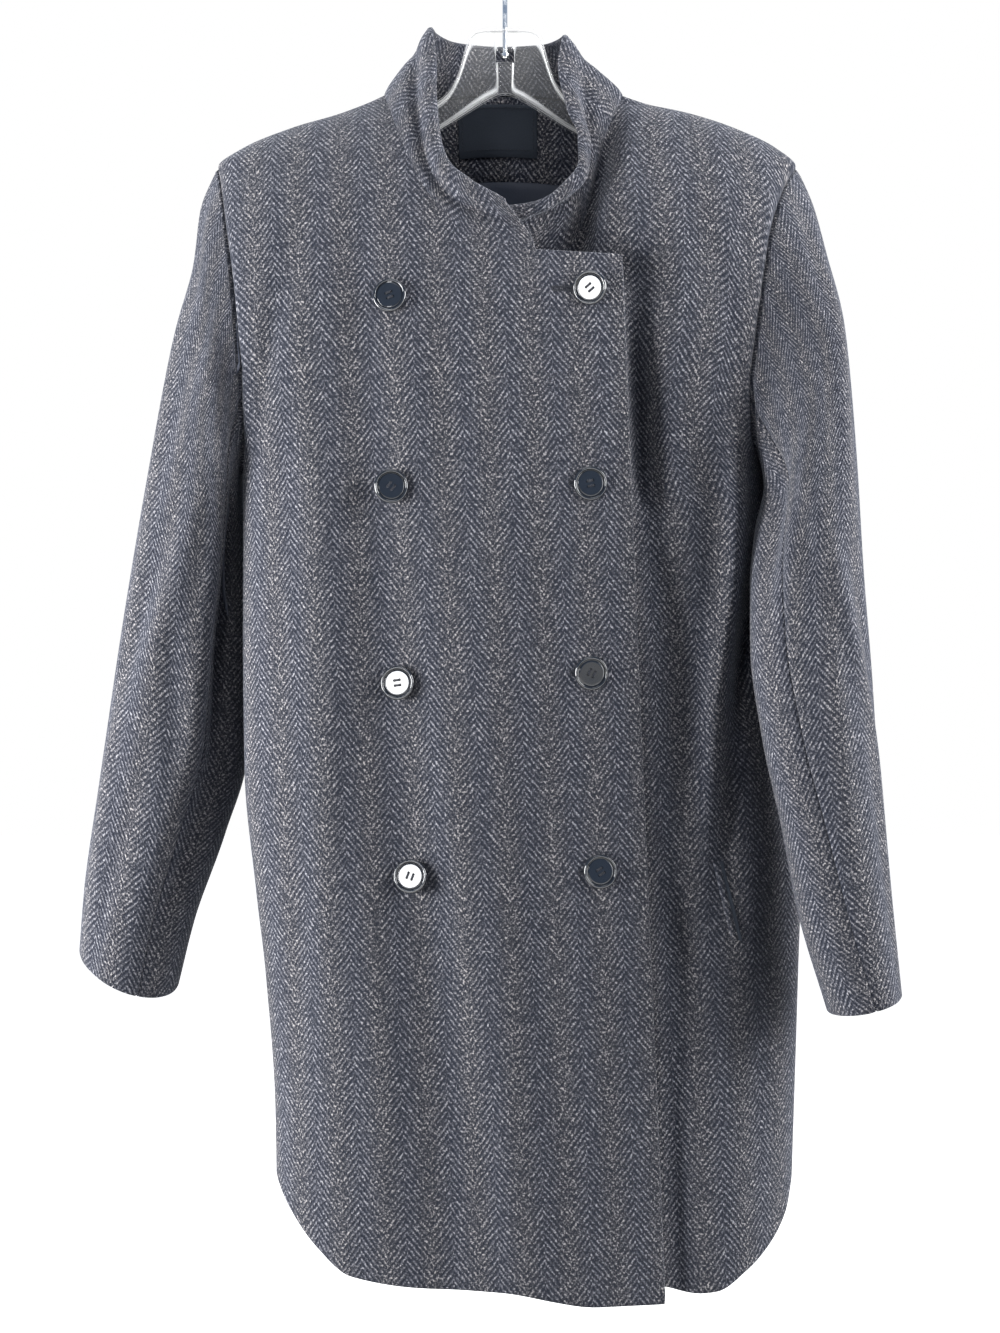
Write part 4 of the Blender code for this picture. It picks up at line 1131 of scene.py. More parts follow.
def seam_normals(side, ring, x, z):
    """Directions square to the front and back along an armhole."""
    front = cloth_normals(FRONT_CUTS[side], x, z)
    back = cloth_normals(BACK_CUT, x, z)
    return np.where((ring <= math.pi)[:, None], front, back)


def ring_normals(rings):
    """Unit normals of a sleeve's rings; those at the armhole lie along its seam."""
    closed = np.concatenate((rings[:, -1:], rings, rings[:, :1]), axis=1)
    middle = rings.mean(axis=1, keepdims=True)
    square = normals_of(closed, closed - middle)[:, 1:-1]
    square[0, :, 0] = 0
    square[0] /= np.linalg.norm(square[0], axis=1, keepdims=True)
    return square


def sleeve_creases(side, at, ring):
    """How far a sleeve's creases push it out, fading at its armhole and its cuff."""
    push = np.zeros(np.broadcast_shapes(at.shape, ring.shape))
    for crease in SLEEVE_CREASES[side]:
        along = at - crease.row
        off = np.degrees(ring) - crease.turn - crease.drift * along
        off = (off + 180) % 360 - 180
        reach = (along / crease.half_rows) ** 2 + (off / crease.half_turn) ** 2
        push += crease.rise * np.exp(-reach)
    return push * smoothstep(at)


def sleeve_seams():
    """Places of the front and back seams on a sleeve's rings."""
    seams = (SLEEVE_FRONT_SEAM, SLEEVE_BACK_SEAM)
    return [round(seam * 2 * ARMHOLE_ROWS / SLEEVE_PLACES) for seam in seams]


def part_seams(grid):
    """A grid whose two edge columns stand a seam's gap back from their neighbours."""
    grid = grid.copy()
    for edge, neighbour in ((0, 1), (-1, -2)):
        way = grid[:, neighbour] - grid[:, edge]
        grid[:, edge] += way * (SLEEVE_SEAM_SIDE / np.linalg.norm(way, axis=1, keepdims=True))
    return grid


def ring_distance(rings, place):
    """Distance along each ring from one of its places."""
    turned = np.roll(rings, -place, axis=1)
    closed = np.concatenate((turned, turned[:, :1]), axis=1)
    run = runs(closed, 1)
    nearest = np.minimum(run, run[:, -1:] - run)[:, :-1]
    return np.roll(nearest, place, axis=1)


class Edges(NamedTuple):
    """How round each edge of a shell is, from 0 at a seam to 1 at a free edge."""

    top: np.ndarray
    last: np.ndarray
    bottom: np.ndarray
    first: np.ndarray


def even_edges(grid, top, last, bottom, first):
    """Edges that are each as round all along."""
    rows, columns = grid.shape[:2]
    counts = ((columns, top), (rows, last), (columns, bottom), (rows, first))
    return Edges(*[np.full(count, value) for count, value in counts])


def cloth_shell(name, outer, inner, grain, edges, finishes, inside=0):
    """A sheet between two grids, closed by turned edges, with its grain and a finish per face."""
    rows, columns = outer.shape[:2]
    count = rows * columns
    index = np.arange(count).reshape(rows, columns)
    rim = np.concatenate((index[0], index[1:, -1], index[-1, -2::-1], index[-2:0:-1, 0]))
    bulge = np.concatenate((edges.top, edges.last[1:], edges.bottom[-2::-1], edges.first[-2:0:-1]))
    row, col = np.divmod(rim, columns)
    near = index[np.clip(row, 1, rows - 2), np.clip(col, 1, columns - 2)]
    outside, within = outer.reshape(-1, 3), inner.reshape(-1, 3)
    weave = grain.reshape(-1, 2)
    off = outside[rim] - outside[near]
    off /= np.linalg.norm(off, axis=1, keepdims=True)
    drift = weave[rim] - weave[near]
    drift /= np.linalg.norm(drift, axis=1, keepdims=True)
    half = (outside[rim] - within[rim]) / 2
    thick = np.linalg.norm(half, axis=1, keepdims=True)
    vertices, weaves, chain = [outside, within], [weave, weave], [rim]
    for step in range(1, RIM_STEPS):
        turn = math.pi * step / RIM_STEPS
        swing = half * math.cos(turn) + off * thick * bulge[:, None] * math.sin(turn)
        vertices.append((outside[rim] + within[rim]) / 2 + swing)
        weaves.append(weave[rim] + drift * thick * turn)
        chain.append(2 * count + (step - 1) * len(rim) + np.arange(len(rim)))
    chain.append(rim + count)
    corners = (index[:-1, :-1], index[1:, :-1], index[1:, 1:], index[:-1, 1:])
    face = np.stack(corners, axis=2).reshape(-1, 4)
    faces = [face, face[:, ::-1] + count]
    for here, there in zip(chain, chain[1:]):
        faces.append(np.stack((here, np.roll(here, -1), np.roll(there, -1), there), axis=1))
    faces = np.concatenate(faces)
    slots = np.zeros(len(faces), int)
    slots[len(face) : 2 * len(face)] = np.ravel(inside)
    weaves = np.concatenate(weaves)
    piece = new_piece(name, np.concatenate(vertices), faces, finishes, slots, weaves)
    keep_crisp(piece.data, rim[bulge == 0])
    return piece


def keep_crisp(mesh, corners):
    """Mark the edges between the given vertices as sharp, so that a flat seam shows no shading."""
    flat = np.zeros(len(mesh.vertices), bool)
    flat[corners] = True
    ends = np.zeros(2 * len(mesh.edges), np.int32)
    mesh.edges.foreach_get("vertices", ends)
    sharp = flat[ends.reshape(-1, 2)].all(axis=1)
    mesh.attributes.new("sharp_edge", "BOOLEAN", "EDGE").data.foreach_set("value", sharp)


def put(name, data):
    """A new object in the scene."""
    thing = bpy.data.objects.new(name, data)
    bpy.context.collection.objects.link(thing)
    return thing


def new_piece(name, vertices, faces, finishes, slots=None, weave=None):
    """A named mesh at the origin with its faces outwards, its finishes and its grain."""
    mesh = bpy.data.meshes.new(name)
    mesh.from_pydata(np.asarray(vertices, float).tolist(), [], [tuple(map(int, f)) for f in faces])
    if slots is not None:
        mesh.polygons.foreach_set("material_index", np.asarray(slots, np.int32))
    turn_outwards(mesh)
    if weave is not None:
        corner = np.zeros(len(mesh.loops), np.int32)
        mesh.loops.foreach_get("vertex_index", corner)
        mesh.uv_layers.new(name=GRAIN).data.foreach_set("uv", np.asarray(weave)[corner].ravel())
    mesh.shade_smooth()
    for finish in finishes:
        mesh.materials.append(finish)
    return put(name, mesh)


def turn_outwards(mesh):
    """Point all the faces of a closed mesh outwards."""
    shape = bmesh.new()
    shape.from_mesh(mesh)
    bmesh.ops.recalc_face_normals(shape, faces=shape.faces)
    shape.to_mesh(mesh)
    shape.free()


def place_piece(thing, slot, *nodes):
    """Hang a finished piece on the body, in the place of the solids that it stands for."""
    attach(thing, BODY_NAME)
    if nodes:
        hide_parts(*nodes)


def panel_shell(name, cloth, cut, edges, dip, turned, finishes):
    """A front or the back as a sheet, dipping at its seams and lined where it isn't turned in."""
    sign = -1 if cut.face == "front" else 1
    outer = cloth.places - dip[..., None] * cloth.normals
    inner = outer - CLOTH * cloth.normals
    for grid in (outer, inner):
        grid[..., 1] = sign * np.maximum(sign * grid[..., 1], SEAM / 2)
    inside = np.where(turned, 0, 1)[:-1, :-1]
    return cloth_shell(name, outer, inner, cloth.grain, edges, finishes, inside)


def ring_faces(rings, count):
    """Faces of the wall between rings that each have as many vertices."""
    faces = []
    for ring in range(rings - 1):
        low, high = ring * count, (ring + 1) * count
        for k in range(count):
            after = (k + 1) % count
            faces.append((low + k, low + after, high + after, high + k))
    return faces


def join(meshes):
    """Vertices and faces of a few meshes as one."""
    vertices, faces = [], []
    for places, sides in meshes:
        shift = len(vertices)
        vertices += [tuple(place) for place in places]
        faces += [tuple(shift + k for k in side) for side in sides]
    return vertices, faces


def tube(path, radius, sides, binormal):
    """Vertices and faces of a closed tube along a flat path, square to the binormal."""
    path = np.asarray(path, float)
    tangent = np.gradient(path, axis=0)
    tangent /= np.linalg.norm(tangent, axis=1, keepdims=True)
    normal = np.cross(np.asarray(binormal, float), tangent)
    turn = np.linspace(0, 2 * math.pi, sides, endpoint=False)[None, :, None]
    ring = np.cos(turn) * normal[:, None] + np.sin(turn) * np.asarray(binormal, float)
    vertices = (path[:, None] + radius * ring).reshape(-1, 3)
    faces = ring_faces(len(path), sides)
    faces.append(tuple(range(sides)))
    faces.append(tuple(range(len(vertices) - 1, len(vertices) - sides - 1, -1)))
    return vertices, faces


def turned_mesh(outline, segments):
    """Vertices and faces of an outline turned round the Z axis and closed at both ends."""
    angles = np.linspace(0, 2 * math.pi, segments, endpoint=False)
    vertices = []
    for radius, height in outline:
        vertices += [(radius * math.cos(a), radius * math.sin(a), height) for a in angles]
    first = tuple(range(segments))
    last = tuple(len(vertices) - segments + k for k in first)
    return vertices, [first, *ring_faces(len(outline), segments), last]


def solid_mesh(thing):
    """The mesh that an object's modifiers give, with the object removed."""
    depsgraph = bpy.context.evaluated_depsgraph_get()
    mesh = bpy.data.meshes.new_from_object(thing.evaluated_get(depsgraph))
    bpy.data.objects.remove(thing)
    return mesh


def cut_away(thing, tool):
    """The mesh of a thing with a tool's shape cut out of it; both objects are removed."""
    knife = thing.modifiers.new("cut", "BOOLEAN")
    knife.operation = "DIFFERENCE"
    knife.solver = "EXACT"
    knife.object = tool
    mesh = solid_mesh(thing)
    bpy.data.objects.remove(tool)
    return mesh


class Wire:
    """A node's socket that takes part in sums, each of which adds a Math node to its tree."""

    def __init__(self, nodes, socket):
        self.nodes = nodes
        self.socket = socket

    def math(self, operation, *values):
        """A Math node on this and other values."""
        return self.nodes.node("ShaderNodeMath", {"operation": operation}, dict(enumerate(values)))

    def __add__(self, other):
        return self.math("ADD", self, other)

    def __radd__(self, other):
        return self.math("ADD", other, self)

    def __sub__(self, other):
        return self.math("SUBTRACT", self, other)

    def __rsub__(self, other):
        return self.math("SUBTRACT", other, self)

    def __mul__(self, other):
        return self.math("MULTIPLY", self, other)

    def __rmul__(self, other):
        return self.math("MULTIPLY", other, self)

    def __truediv__(self, other):
        return self.math("DIVIDE", self, other)

    def __lt__(self, other):
        return self.math("LESS_THAN", self, other)

    def fract(self):
        return self.math("FRACT", self)

    def absolute(self):
        return self.math("ABSOLUTE", self)

    def wave(self, pitch=1.0):
        """A soft wave between 0 and 1 that repeats at a pitch."""
        return 0.5 + 0.5 * self.math("COSINE", self * (2 * math.pi / pitch))


class Nodes:
    """A tree of nodes, with the one method that adds to it and what is made with that method."""

    def __init__(self, tree):
        self.tree = tree

    def node(self, kind, settings, sockets, output=0):
        """A node with its settings made first, then its sockets' values or links."""
        node = self.tree.nodes.new(kind)
        for name, value in settings.items():
            if name == "stops":
                fill_ramp(node.color_ramp, value)
            else:
                setattr(node, name, value)
        named = {socket.identifier: socket for socket in node.inputs}
        named.update({socket.name: socket for socket in node.inputs if socket.name not in named})
        named.update(enumerate(node.inputs))
        for key, value in sockets.items():
            if isinstance(value, Wire):
                self.tree.links.new(value.socket, named[key])
            else:
                named[key].default_value = value
        if isinstance(output, str):
            output = next(k for k, s in enumerate(node.outputs) if output in (s.identifier, s.name))
        return Wire(self, node.outputs[output])

    def noise(self, vector, scale, detail=2.0, roughness=0.5, output="Fac"):
        """Soft noise over a vector."""
        sockets = {"Vector": vector, "Scale": scale, "Detail": detail, "Roughness": roughness}
        return self.node("ShaderNodeTexNoise", {"noise_dimensions": "3D"}, sockets, output)

    def parts(self, vector):
        """The three numbers of a vector."""
        made = self.node("ShaderNodeSeparateXYZ", {}, {"Vector": vector})
        return [Wire(self, socket) for socket in made.socket.node.outputs]

    def vector(self, x, y, z=0.0):
        """A vector of three numbers."""
        return self.node("ShaderNodeCombineXYZ", {}, {"X": x, "Y": y, "Z": z})

    def blend(self, factor, first, second, kind="MIX"):
        """One colour mixed with another."""
        sockets = {"Factor_Float": factor, "A_Color": first, "B_Color": second}
        settings = {"data_type": "RGBA", "blend_type": kind, "clamp_factor": True}
        return self.node("ShaderNodeMix", settings, sockets, "Result_Color")

    def tones(self, factor, tint, deep, pale):
        """A tint between two shares of it."""
        return self.blend(factor, shade(tint, deep), shade(tint, pale))

    def ramp(self, factor, stops):
        """A colour from a row of stops."""
        return self.node("ShaderNodeValToRGB", {"stops": stops}, {"Fac": factor}, "Color")

    def bump(self, height, distance, strength=1.0):
        """A surface raised by a height."""
        sockets = {"Height": height, "Distance": distance, "Strength": strength}
        return self.node("ShaderNodeBump", {}, sockets, "Normal")


class Finish(Nodes):
    """A material under construction, with the sockets that are the same all over set."""

    def __init__(self, name, **constants):
        self.material = bpy.data.materials.new(name)
        self.material.use_nodes = True
        super().__init__(self.material.node_tree)
        self.shader = self.tree.nodes["Principled BSDF"]
        for socket, value in constants.items():
            self.shader_socket(socket).default_value = value

    def shader_socket(self, key):
        """The shader's socket whose name is given in lower case with underscores."""
        return next(s for s in self.shader.inputs if s.name.lower().replace(" ", "_") == key)

    def grain(self):
        """Places along and across the grain of a cloth."""
        return self.node("ShaderNodeUVMap", {"uv_map": GRAIN}, {}, "UV")

    def spot(self):
        """Places on a piece."""
        return self.node("ShaderNodeTexCoord", {}, {}, "Object")

    def feed(self, **wires):
        """Link wires to the shader and give the finished material."""
        for socket, wire in wires.items():
            self.tree.links.new(wire.socket, self.shader_socket(socket))
        return self.material


def fill_ramp(ramp, stops):
    """Set a ramp's stops, each a place and a colour."""
    for end in (0, -1):
        ramp.elements[end].position = stops[end][0]
        ramp.elements[end].color = (*stops[end][1], 1.0)
    for place, tint in stops[1:-1]:
        ramp.elements.new(place).color = (*tint, 1.0)


def shade(tint, share):
    """A share of a colour, as a shader's socket takes it."""
    return (*[share * part for part in tint], 1.0)


def kept(name, make, *values):
    """A material that is made once and then used again."""
    return bpy.data.materials.get(name) or make(name, *values)


def tweed(name, cloth, lift=1.0):
    """Herringbone wool: broken chevrons of flecked yarn, softly banded, with a felted nap."""
    made = Finish(name, sheen_weight=0.22, sheen_roughness=0.45, specular_ior_level=0.25)
    made.shader_socket("sheen_tint").default_value = SHEEN_TINT
    grain = made.grain()
    wander = made.parts(made.noise(grain, scale=42.0, detail=2.0, roughness=0.5, output="Color"))
    u, v, _ = made.parts(grain)
    u = u + (wander[0] - 0.5) * WANDER_ACROSS
    v = v + (wander[1] - 0.5) * WANDER_DOWN
    place = (u / cloth.herringbone).fract()
    first = place < CHEVRON_SPLIT
    way = 1 - 2 * first
    across = (place - CHEVRON_SPLIT) * cloth.herringbone
    phase = v / cloth.twill_pitch + way * across / (cloth.twill_pitch / TWILL_SLOPE) + first * 0.5
    line = phase.wave()
    along = v * TWILL_SIN - way * across * TWILL_COS
    strand = made.vector(phase * 1.15, along / FLECK_LENGTH, first * 7.0)
    fleck = made.noise(strand, scale=1.0, detail=3.0, roughness=0.6)
    crossing = made.vector(u / YARN_ACROSS, v / YARN_DOWN)
    yarn = made.noise(crossing, scale=1.0, detail=1.0, roughness=0.5)
    heather = made.noise(grain, scale=90.0, detail=3.0, roughness=0.6)
    band = place.wave() + 0.8 * (heather - 0.5)
    tone = (0.50 - 0.16 * band) * line + 1.45 * (fleck - 0.5) + 0.40 * (heather - 0.5) + 0.17
    tone = tone + (1.30 + 0.60 * band) * (yarn - 0.5) + 0.12 * (band - 0.5)
    dyed = made.ramp(tone, (
        (0.00, cloth.dark_yarn),
        (0.34, [0.55 * d + 0.20 * m for d, m in zip(cloth.dark_yarn, cloth.mid_yarn)]),
        (0.62, cloth.mid_yarn),
        (1.00, cloth.light_yarn),
    ))
    dyed = made.blend(1.0, dyed, made.blend(band, COOL_CAST, WARM_CAST), "MULTIPLY")
    # A lift over 1 paints light into a brightened copy of the tweed, as for the facing in the
    # shaded inside of the neck
    dyed = made.blend(1.0, dyed, (lift, lift, lift, 1.0), "MULTIPLY")
    return made.feed(
        base_color=dyed,
        roughness=0.98 - 0.16 * tone,
        normal=made.bump(tone + 0.4 * (yarn - 0.5), distance=0.0009, strength=0.75),
    )


def lining(name, cloth):
    """Satin lining: fine slanted ribs and soft long streaks."""
    made = Finish(name, sheen_weight=0.15, specular_ior_level=0.4)
    grain = made.grain()
    u, v, _ = made.parts(grain)
    streak = made.noise(made.vector(u * 420.0, v * 26.0), scale=1.0, detail=3.0, roughness=0.6)
    cloud = made.noise(grain, scale=24.0, detail=3.0, roughness=0.55)
    rib = (u + v).wave(LINING_RIB)
    satin = 0.45 * streak + 0.35 * cloud + 0.2 * rib
    return made.feed(
        base_color=made.tones(satin, cloth.lining_colour, deep=0.62, pale=1.45),
        roughness=0.34 + 0.22 * streak,
        normal=made.bump(rib * 0.6 + streak, distance=0.00025, strength=0.6),
    )


def label_weave(name, cloth):
    """Bare woven label: close ribs of fine yarn."""
    made = Finish(name, specular_ior_level=0.3)
    grain = made.grain()
    u, v, _ = made.parts(grain)
    fuzz = made.noise(grain, scale=800.0, detail=2.0, roughness=0.6)
    weave = 0.45 * u.wave(LABEL_WARP) + 0.35 * v.wave(LABEL_WEFT) + 0.5 * (fuzz - 0.5)
    return made.feed(
        base_color=made.tones(weave, cloth.label_colour, deep=0.6, pale=1.7),
        roughness=0.72 - 0.2 * weave,
        normal=made.bump(weave, distance=0.0002, strength=0.7),
    )


def resin(name, trim):
    """Polished dark resin with faint clouds and fine wear."""
    made = Finish(name, ior=1.54, coat_weight=0.6, coat_roughness=0.04)
    spot = made.spot()
    cloud = made.noise(spot, scale=260.0, detail=4.0, roughness=0.6)
    scuff = made.noise(spot, scale=1900.0, detail=2.0, roughness=0.7)
    return made.feed(
        base_color=made.tones(cloud, trim.button_colour, deep=1.0, pale=2.6),
        roughness=0.04 + 0.05 * cloud + 0.05 * scuff,
        normal=made.bump(scuff, distance=0.00001, strength=0.3),
    )


def thread(name, trim):
    """Twisted sewing thread."""
    made = Finish(name, sheen_weight=0.2, specular_ior_level=0.3)
    spot = made.spot()
    x, y, z = made.parts(spot)
    ply = (x + y + z).wave(THREAD_PLY)
    fuzz = made.noise(spot, scale=2400.0, detail=2.0, roughness=0.6)
    return made.feed(
        base_color=made.tones(0.6 * ply + 0.4 * fuzz, trim.thread_colour, deep=0.55, pale=1.6),
        roughness=0.88 - 0.2 * ply,
        normal=made.bump(ply, distance=0.0002, strength=0.6),
    )


def clear_plastic(name, trim):
    """Clear moulded plastic with faint flow marks and fine scuffs, and a pale grey line along its
    rim: a painted highlight for the light that the clear rim bends and reflects.
    """
    made = Finish(name, ior=1.49, coat_weight=0.5, coat_roughness=0.03)
    spot = made.spot()
    flow = made.noise(spot, scale=38.0, detail=3.0, roughness=0.5)
    scuff = made.noise(spot, scale=700.0, detail=3.0, roughness=0.65)
    off = made.parts(spot)[1].absolute()
    # A pale line along the rim: painted highlight where the clear rim bends and reflects light
    line = 1 - (off - PAINTED_RIM_HIGHLIGHT).absolute() / PAINTED_RIM_HIGHLIGHT_HALF
    line = line.math("MAXIMUM", line, 0.0)
    clear = made.tones(flow, trim.plastic_colour, deep=1.0, pale=0.94)
    return made.feed(
        base_color=made.blend(line, clear, shade(trim.plastic_colour, 0.62)),
        roughness=0.05 + 0.06 * scuff * flow,
        alpha=0.030 + 0.030 * flow + 0.85 * line,
        normal=made.bump(flow, distance=0.0003, strength=0.3),
    )


def drawn_wire(name, trim):
    """Bright drawn wire with marks along its length."""
    made = Finish(name)
    spot = made.spot()
    x, y, z = made.parts(spot)
    stroke = made.vector(x * 2600.0, y * 2600.0, z * 60.0)
    mark = made.noise(stroke, scale=1.0, detail=3.0, roughness=0.6)
    cloud = made.noise(spot, scale=120.0, detail=3.0, roughness=0.6)
    return made.feed(
        base_color=made.tones(0.6 * mark + 0.4 * cloud, trim.wire_colour, deep=0.72, pale=1.1),
        roughness=0.16 + 0.22 * mark,
        metallic=1.0 - 0.06 * cloud,
        normal=made.bump(mark, distance=0.00004, strength=0.5),
    )


def pale_floor(name, stage):
    """Pale studio floor with the faintest mottle."""
    made = Finish(name, specular_ior_level=0.1, emission_strength=stage.floor_glow)
    made.shader_socket("emission_color").default_value = WHITE
    mottle = made.noise(made.spot(), scale=9.0, detail=4.0, roughness=0.6)
    return made.feed(
        base_color=made.tones(mottle, stage.floor_colour, deep=1.0, pale=0.985),
        roughness=0.85 + 0.1 * mottle,
    )


def stitch_tree():
    """Stitches set along a line at an even spacing, lying along it or across it."""
    tree = bpy.data.node_groups.get("sewn_stitches")
    if tree:
        return tree
    tree = bpy.data.node_groups.new("sewn_stitches", "GeometryNodeTree")
    face = tree.interface
    face.new_socket("Line", in_out="INPUT", socket_type="NodeSocketGeometry")
    for name, value in STITCH_SIZES.items():
        face.new_socket(name, in_out="INPUT", socket_type="NodeSocketFloat").default_value = value
    face.new_socket("Thread", in_out="INPUT", socket_type="NodeSocketMaterial")
    face.new_socket("Stitches", in_out="OUTPUT", socket_type="NodeSocketGeometry")
    nodes = Nodes(tree)
    source = tree.nodes.new("NodeGroupInput")

    def given(name):
        """One of the tree's inputs."""
        return Wire(nodes, source.outputs[name])

    curve = nodes.node("GeometryNodeMeshToCurve", {}, {"Mesh": given("Line")})
    spacing = {"Curve": curve, "Length": given("Spacing")}
    points = nodes.node("GeometryNodeCurveToPoints", {"mode": "LENGTH"}, spacing, "Points")
    tangent = Wire(nodes, points.socket.node.outputs["Tangent"])
    ways = {"Factor_Float": given("Upright"), "A_Vector": tangent, "B_Vector": (0.0, 0.0, 1.0)}
    way = nodes.node("ShaderNodeMix", {"data_type": "VECTOR"}, ways, "Result_Vector")
    lie = nodes.node("FunctionNodeAlignRotationToVector", {"axis": "Z"}, {"Vector": way})
    ends = {"Min": (-1.0, -1.0, -1.0), "Max": (1.0, 1.0, 1.0), "Seed": STITCH_SEED}
    chance = nodes.node("FunctionNodeRandomValue", {"data_type": "FLOAT_VECTOR"}, ends, "Value")
    spread = {0: chance, "Scale": given("Unevenness")}
    waver = nodes.node("ShaderNodeVectorMath", {"operation": "SCALE"}, spread, "Vector")
    waver = nodes.node("FunctionNodeEulerToRotation", {}, {"Euler": waver})
    turns = {"Rotation": lie, "Rotate By": waver}
    tilt = nodes.node("FunctionNodeRotateRotation", {"rotation_space": "LOCAL"}, turns)
    bead = nodes.node("GeometryNodeMeshUVSphere", {}, {"Segments": 8, "Rings": 6, "Radius": 0.5})
    scale = nodes.vector(given("Thickness"), given("Thickness"), given("Length"))
    seats = {"Points": points, "Instance": bead, "Rotation": tilt, "Scale": scale}
    sewn = nodes.node("GeometryNodeInstanceOnPoints", {}, seats)
    sewn = nodes.node("GeometryNodeRealizeInstances", {}, {"Geometry": sewn})
    sewn = nodes.node("GeometryNodeSetShadeSmooth", {}, {"Geometry": sewn})
    dress = {"Geometry": sewn, "Material": given("Thread")}
    sewn = nodes.node("GeometryNodeSetMaterial", {}, dress)
    tree.links.new(sewn.socket, tree.nodes.new("NodeGroupOutput").inputs["Stitches"])
    return tree


def sew(name, lines, sizes, finish):
    """Stitches along a few lines of places, as one plain mesh."""
    vertices, edges = [], []
    for line in lines:
        start = len(vertices)
        vertices += [tuple(map(float, place)) for place in line]
        edges += [(start + k, start + k + 1) for k in range(len(line) - 1)]
    guide = bpy.data.meshes.new(f"{name}_line")
    guide.from_pydata(vertices, edges, [])
    thing = put(f"{name}_line", guide)
    modifier = thing.modifiers.new("stitches", "NODES")
    modifier.node_group = stitch_tree()
    values = {**sizes, "Thread": finish}
    for item in modifier.node_group.interface.items_tree:
        if item.item_type == "SOCKET" and item.in_out == "INPUT" and item.name in values:
            modifier[item.identifier] = values[item.name]
    mesh = solid_mesh(thing)
    mesh.name = name
    if not mesh.polygons:
        raise RuntimeError(f"no stitches were sewn for {name}")
    return put(name, mesh)


def colour(name, description, default):
    """A colour that a user may change."""
    return FloatVectorProperty(
        name=name,
        description=description,
        default=default,
        size=3,
        subtype="COLOR",
        min=0.0,
        max=1.0,
    )


def number(name, description, default, **limits):
    """A number that a user may change."""
    return FloatProperty(name=name, description=description, default=default, **limits)


def size(name, description, default):
    """A length that a user may change."""
    return number(name, description, default, unit="LENGTH", precision=5, min=0.0)


def watts(name, description, default):
    """A light's power that a user may change."""
    return number(name, description, default, unit="POWER", min=0.0)


class CoatCloth(bpy.types.PropertyGroup):
    """Cloth of the coat."""

    seam_dip: size("Seam dip", "How far the cloth dips at a sewn seam", 0.0016)
    herringbone: size("Herringbone width", "Width of one pair of chevron columns", 0.0365)
    twill_pitch: size("Twill pitch", "Distance between twill lines down the cloth", 0.00575)
    dark_yarn: colour("Dark yarn", "Darkest yarn of the tweed", (0.011, 0.014, 0.023))
    mid_yarn: colour("Middle yarn", "Middle yarn of the tweed", (0.103, 0.104, 0.117))
    light_yarn: colour("Light yarn", "Lightest flecks of the tweed", (0.410, 0.396, 0.398))
    lining_colour: colour("Lining", "Colour of the satin lining", (0.030, 0.036, 0.056))
    label_colour: colour("Label", "Colour of the bare neck label", (0.026, 0.033, 0.046))


class CoatTrim(bpy.types.PropertyGroup):
    """Buttons, thread and hanger."""

    button_colour: colour("Buttons", "Colour of the dark resin", (0.005, 0.006, 0.008))
    thread_colour: colour("Thread", "Colour of the sewing thread", (0.016, 0.018, 0.026))
    plastic_colour: colour("Hanger", "Tint of the clear plastic", (0.965, 0.975, 0.980))
    wire_colour: colour("Hook", "Colour of the hook's wire", (0.600, 0.600, 0.590))
    stitch_spacing: size("Stitch spacing", "Distance between buttonhole stitches", 0.0008)
    stitch_length: size("Stitch length", "Length of a buttonhole stitch", 0.0022)
    stitch_thickness: size("Stitch thickness", "Thickness of a stitch", 0.0007)


class CoatStage(bpy.types.PropertyGroup):
    """Studio round the coat."""

    floor_level: number("Floor level", "Height of the floor", -1.45, unit="LENGTH")
    floor_colour: colour("Floor", "Colour of the floor", (0.90, 0.90, 0.90))
    floor_glow: number("Floor glow", "How bright the floor looks", 1.0, min=0.0)
    sky: number("Surround", "Strength of the light all round", 0.040, min=0.0)
    mirrored_sky: number("Mirrored surround", "Strength of the surround in gloss", 0.4, min=0.0)
    left_power: watts("Left light", "Power of the large light at the left", 102.0)
    right_power: watts("Right light", "Power of the large light at the right", 64.0)
    fill_power: watts("Fill light", "Power of the light before the coat at the right", 15.0)
    top_power: watts("Top light", "Power of the light over the neck", 2.8)
    window_power: watts("Window light", "Power of the small light before the coat", 5.1)


def cloth_finishes(cloth):
    """The wool of the outer faces and the lining of the inner ones."""
    return kept("herringbone_tweed", tweed, cloth), kept("satin_lining", lining, cloth)


class COAT_OT_fronts(bpy.types.Operator):
    """Make the right front with its lap, and the left front under it"""

    bl_idname = "coat.fronts"
    bl_label = "Fronts"

    def execute(self, context):
        cloth = context.scene.coat_cloth
        finishes = cloth_finishes(cloth)
        neck_end = LAP_COLUMNS + NECK_COLUMNS
        for side in ("right", "left"):
            name, cut = f"front_{side}", FRONT_CUTS[side]
            front = front_panel(side)
            across, down = runs(front.places, 1), runs(front.places, 0)
            edges = even_edges(front.places, SEWN_EDGE, SEWN_EDGE, FREE_EDGE, FREE_EDGE)
            edges.top[:LAP_COLUMNS] = FREE_EDGE
            edges.top[LAP_COLUMNS : neck_end + 1] = FLAT_EDGE
            off_neck = np.arange(down.shape[1]) - neck_end
            dip = seam_dip(across[:, -1:] - across)
            dip = dip + seam_dip(down) * smoothstep(off_neck / SEAM_START)
            dip = cloth.seam_dip * np.minimum(dip, 1.0)
            turned_in = (across < FRONT_FACING) | (down[-1:] - down < HEM_TURNING)
            piece = panel_shell(f"{name}_cloth", front, cut, edges, dip, turned_in, finishes)
            place_piece(piece, "tweed", name)
        return {"FINISHED"}


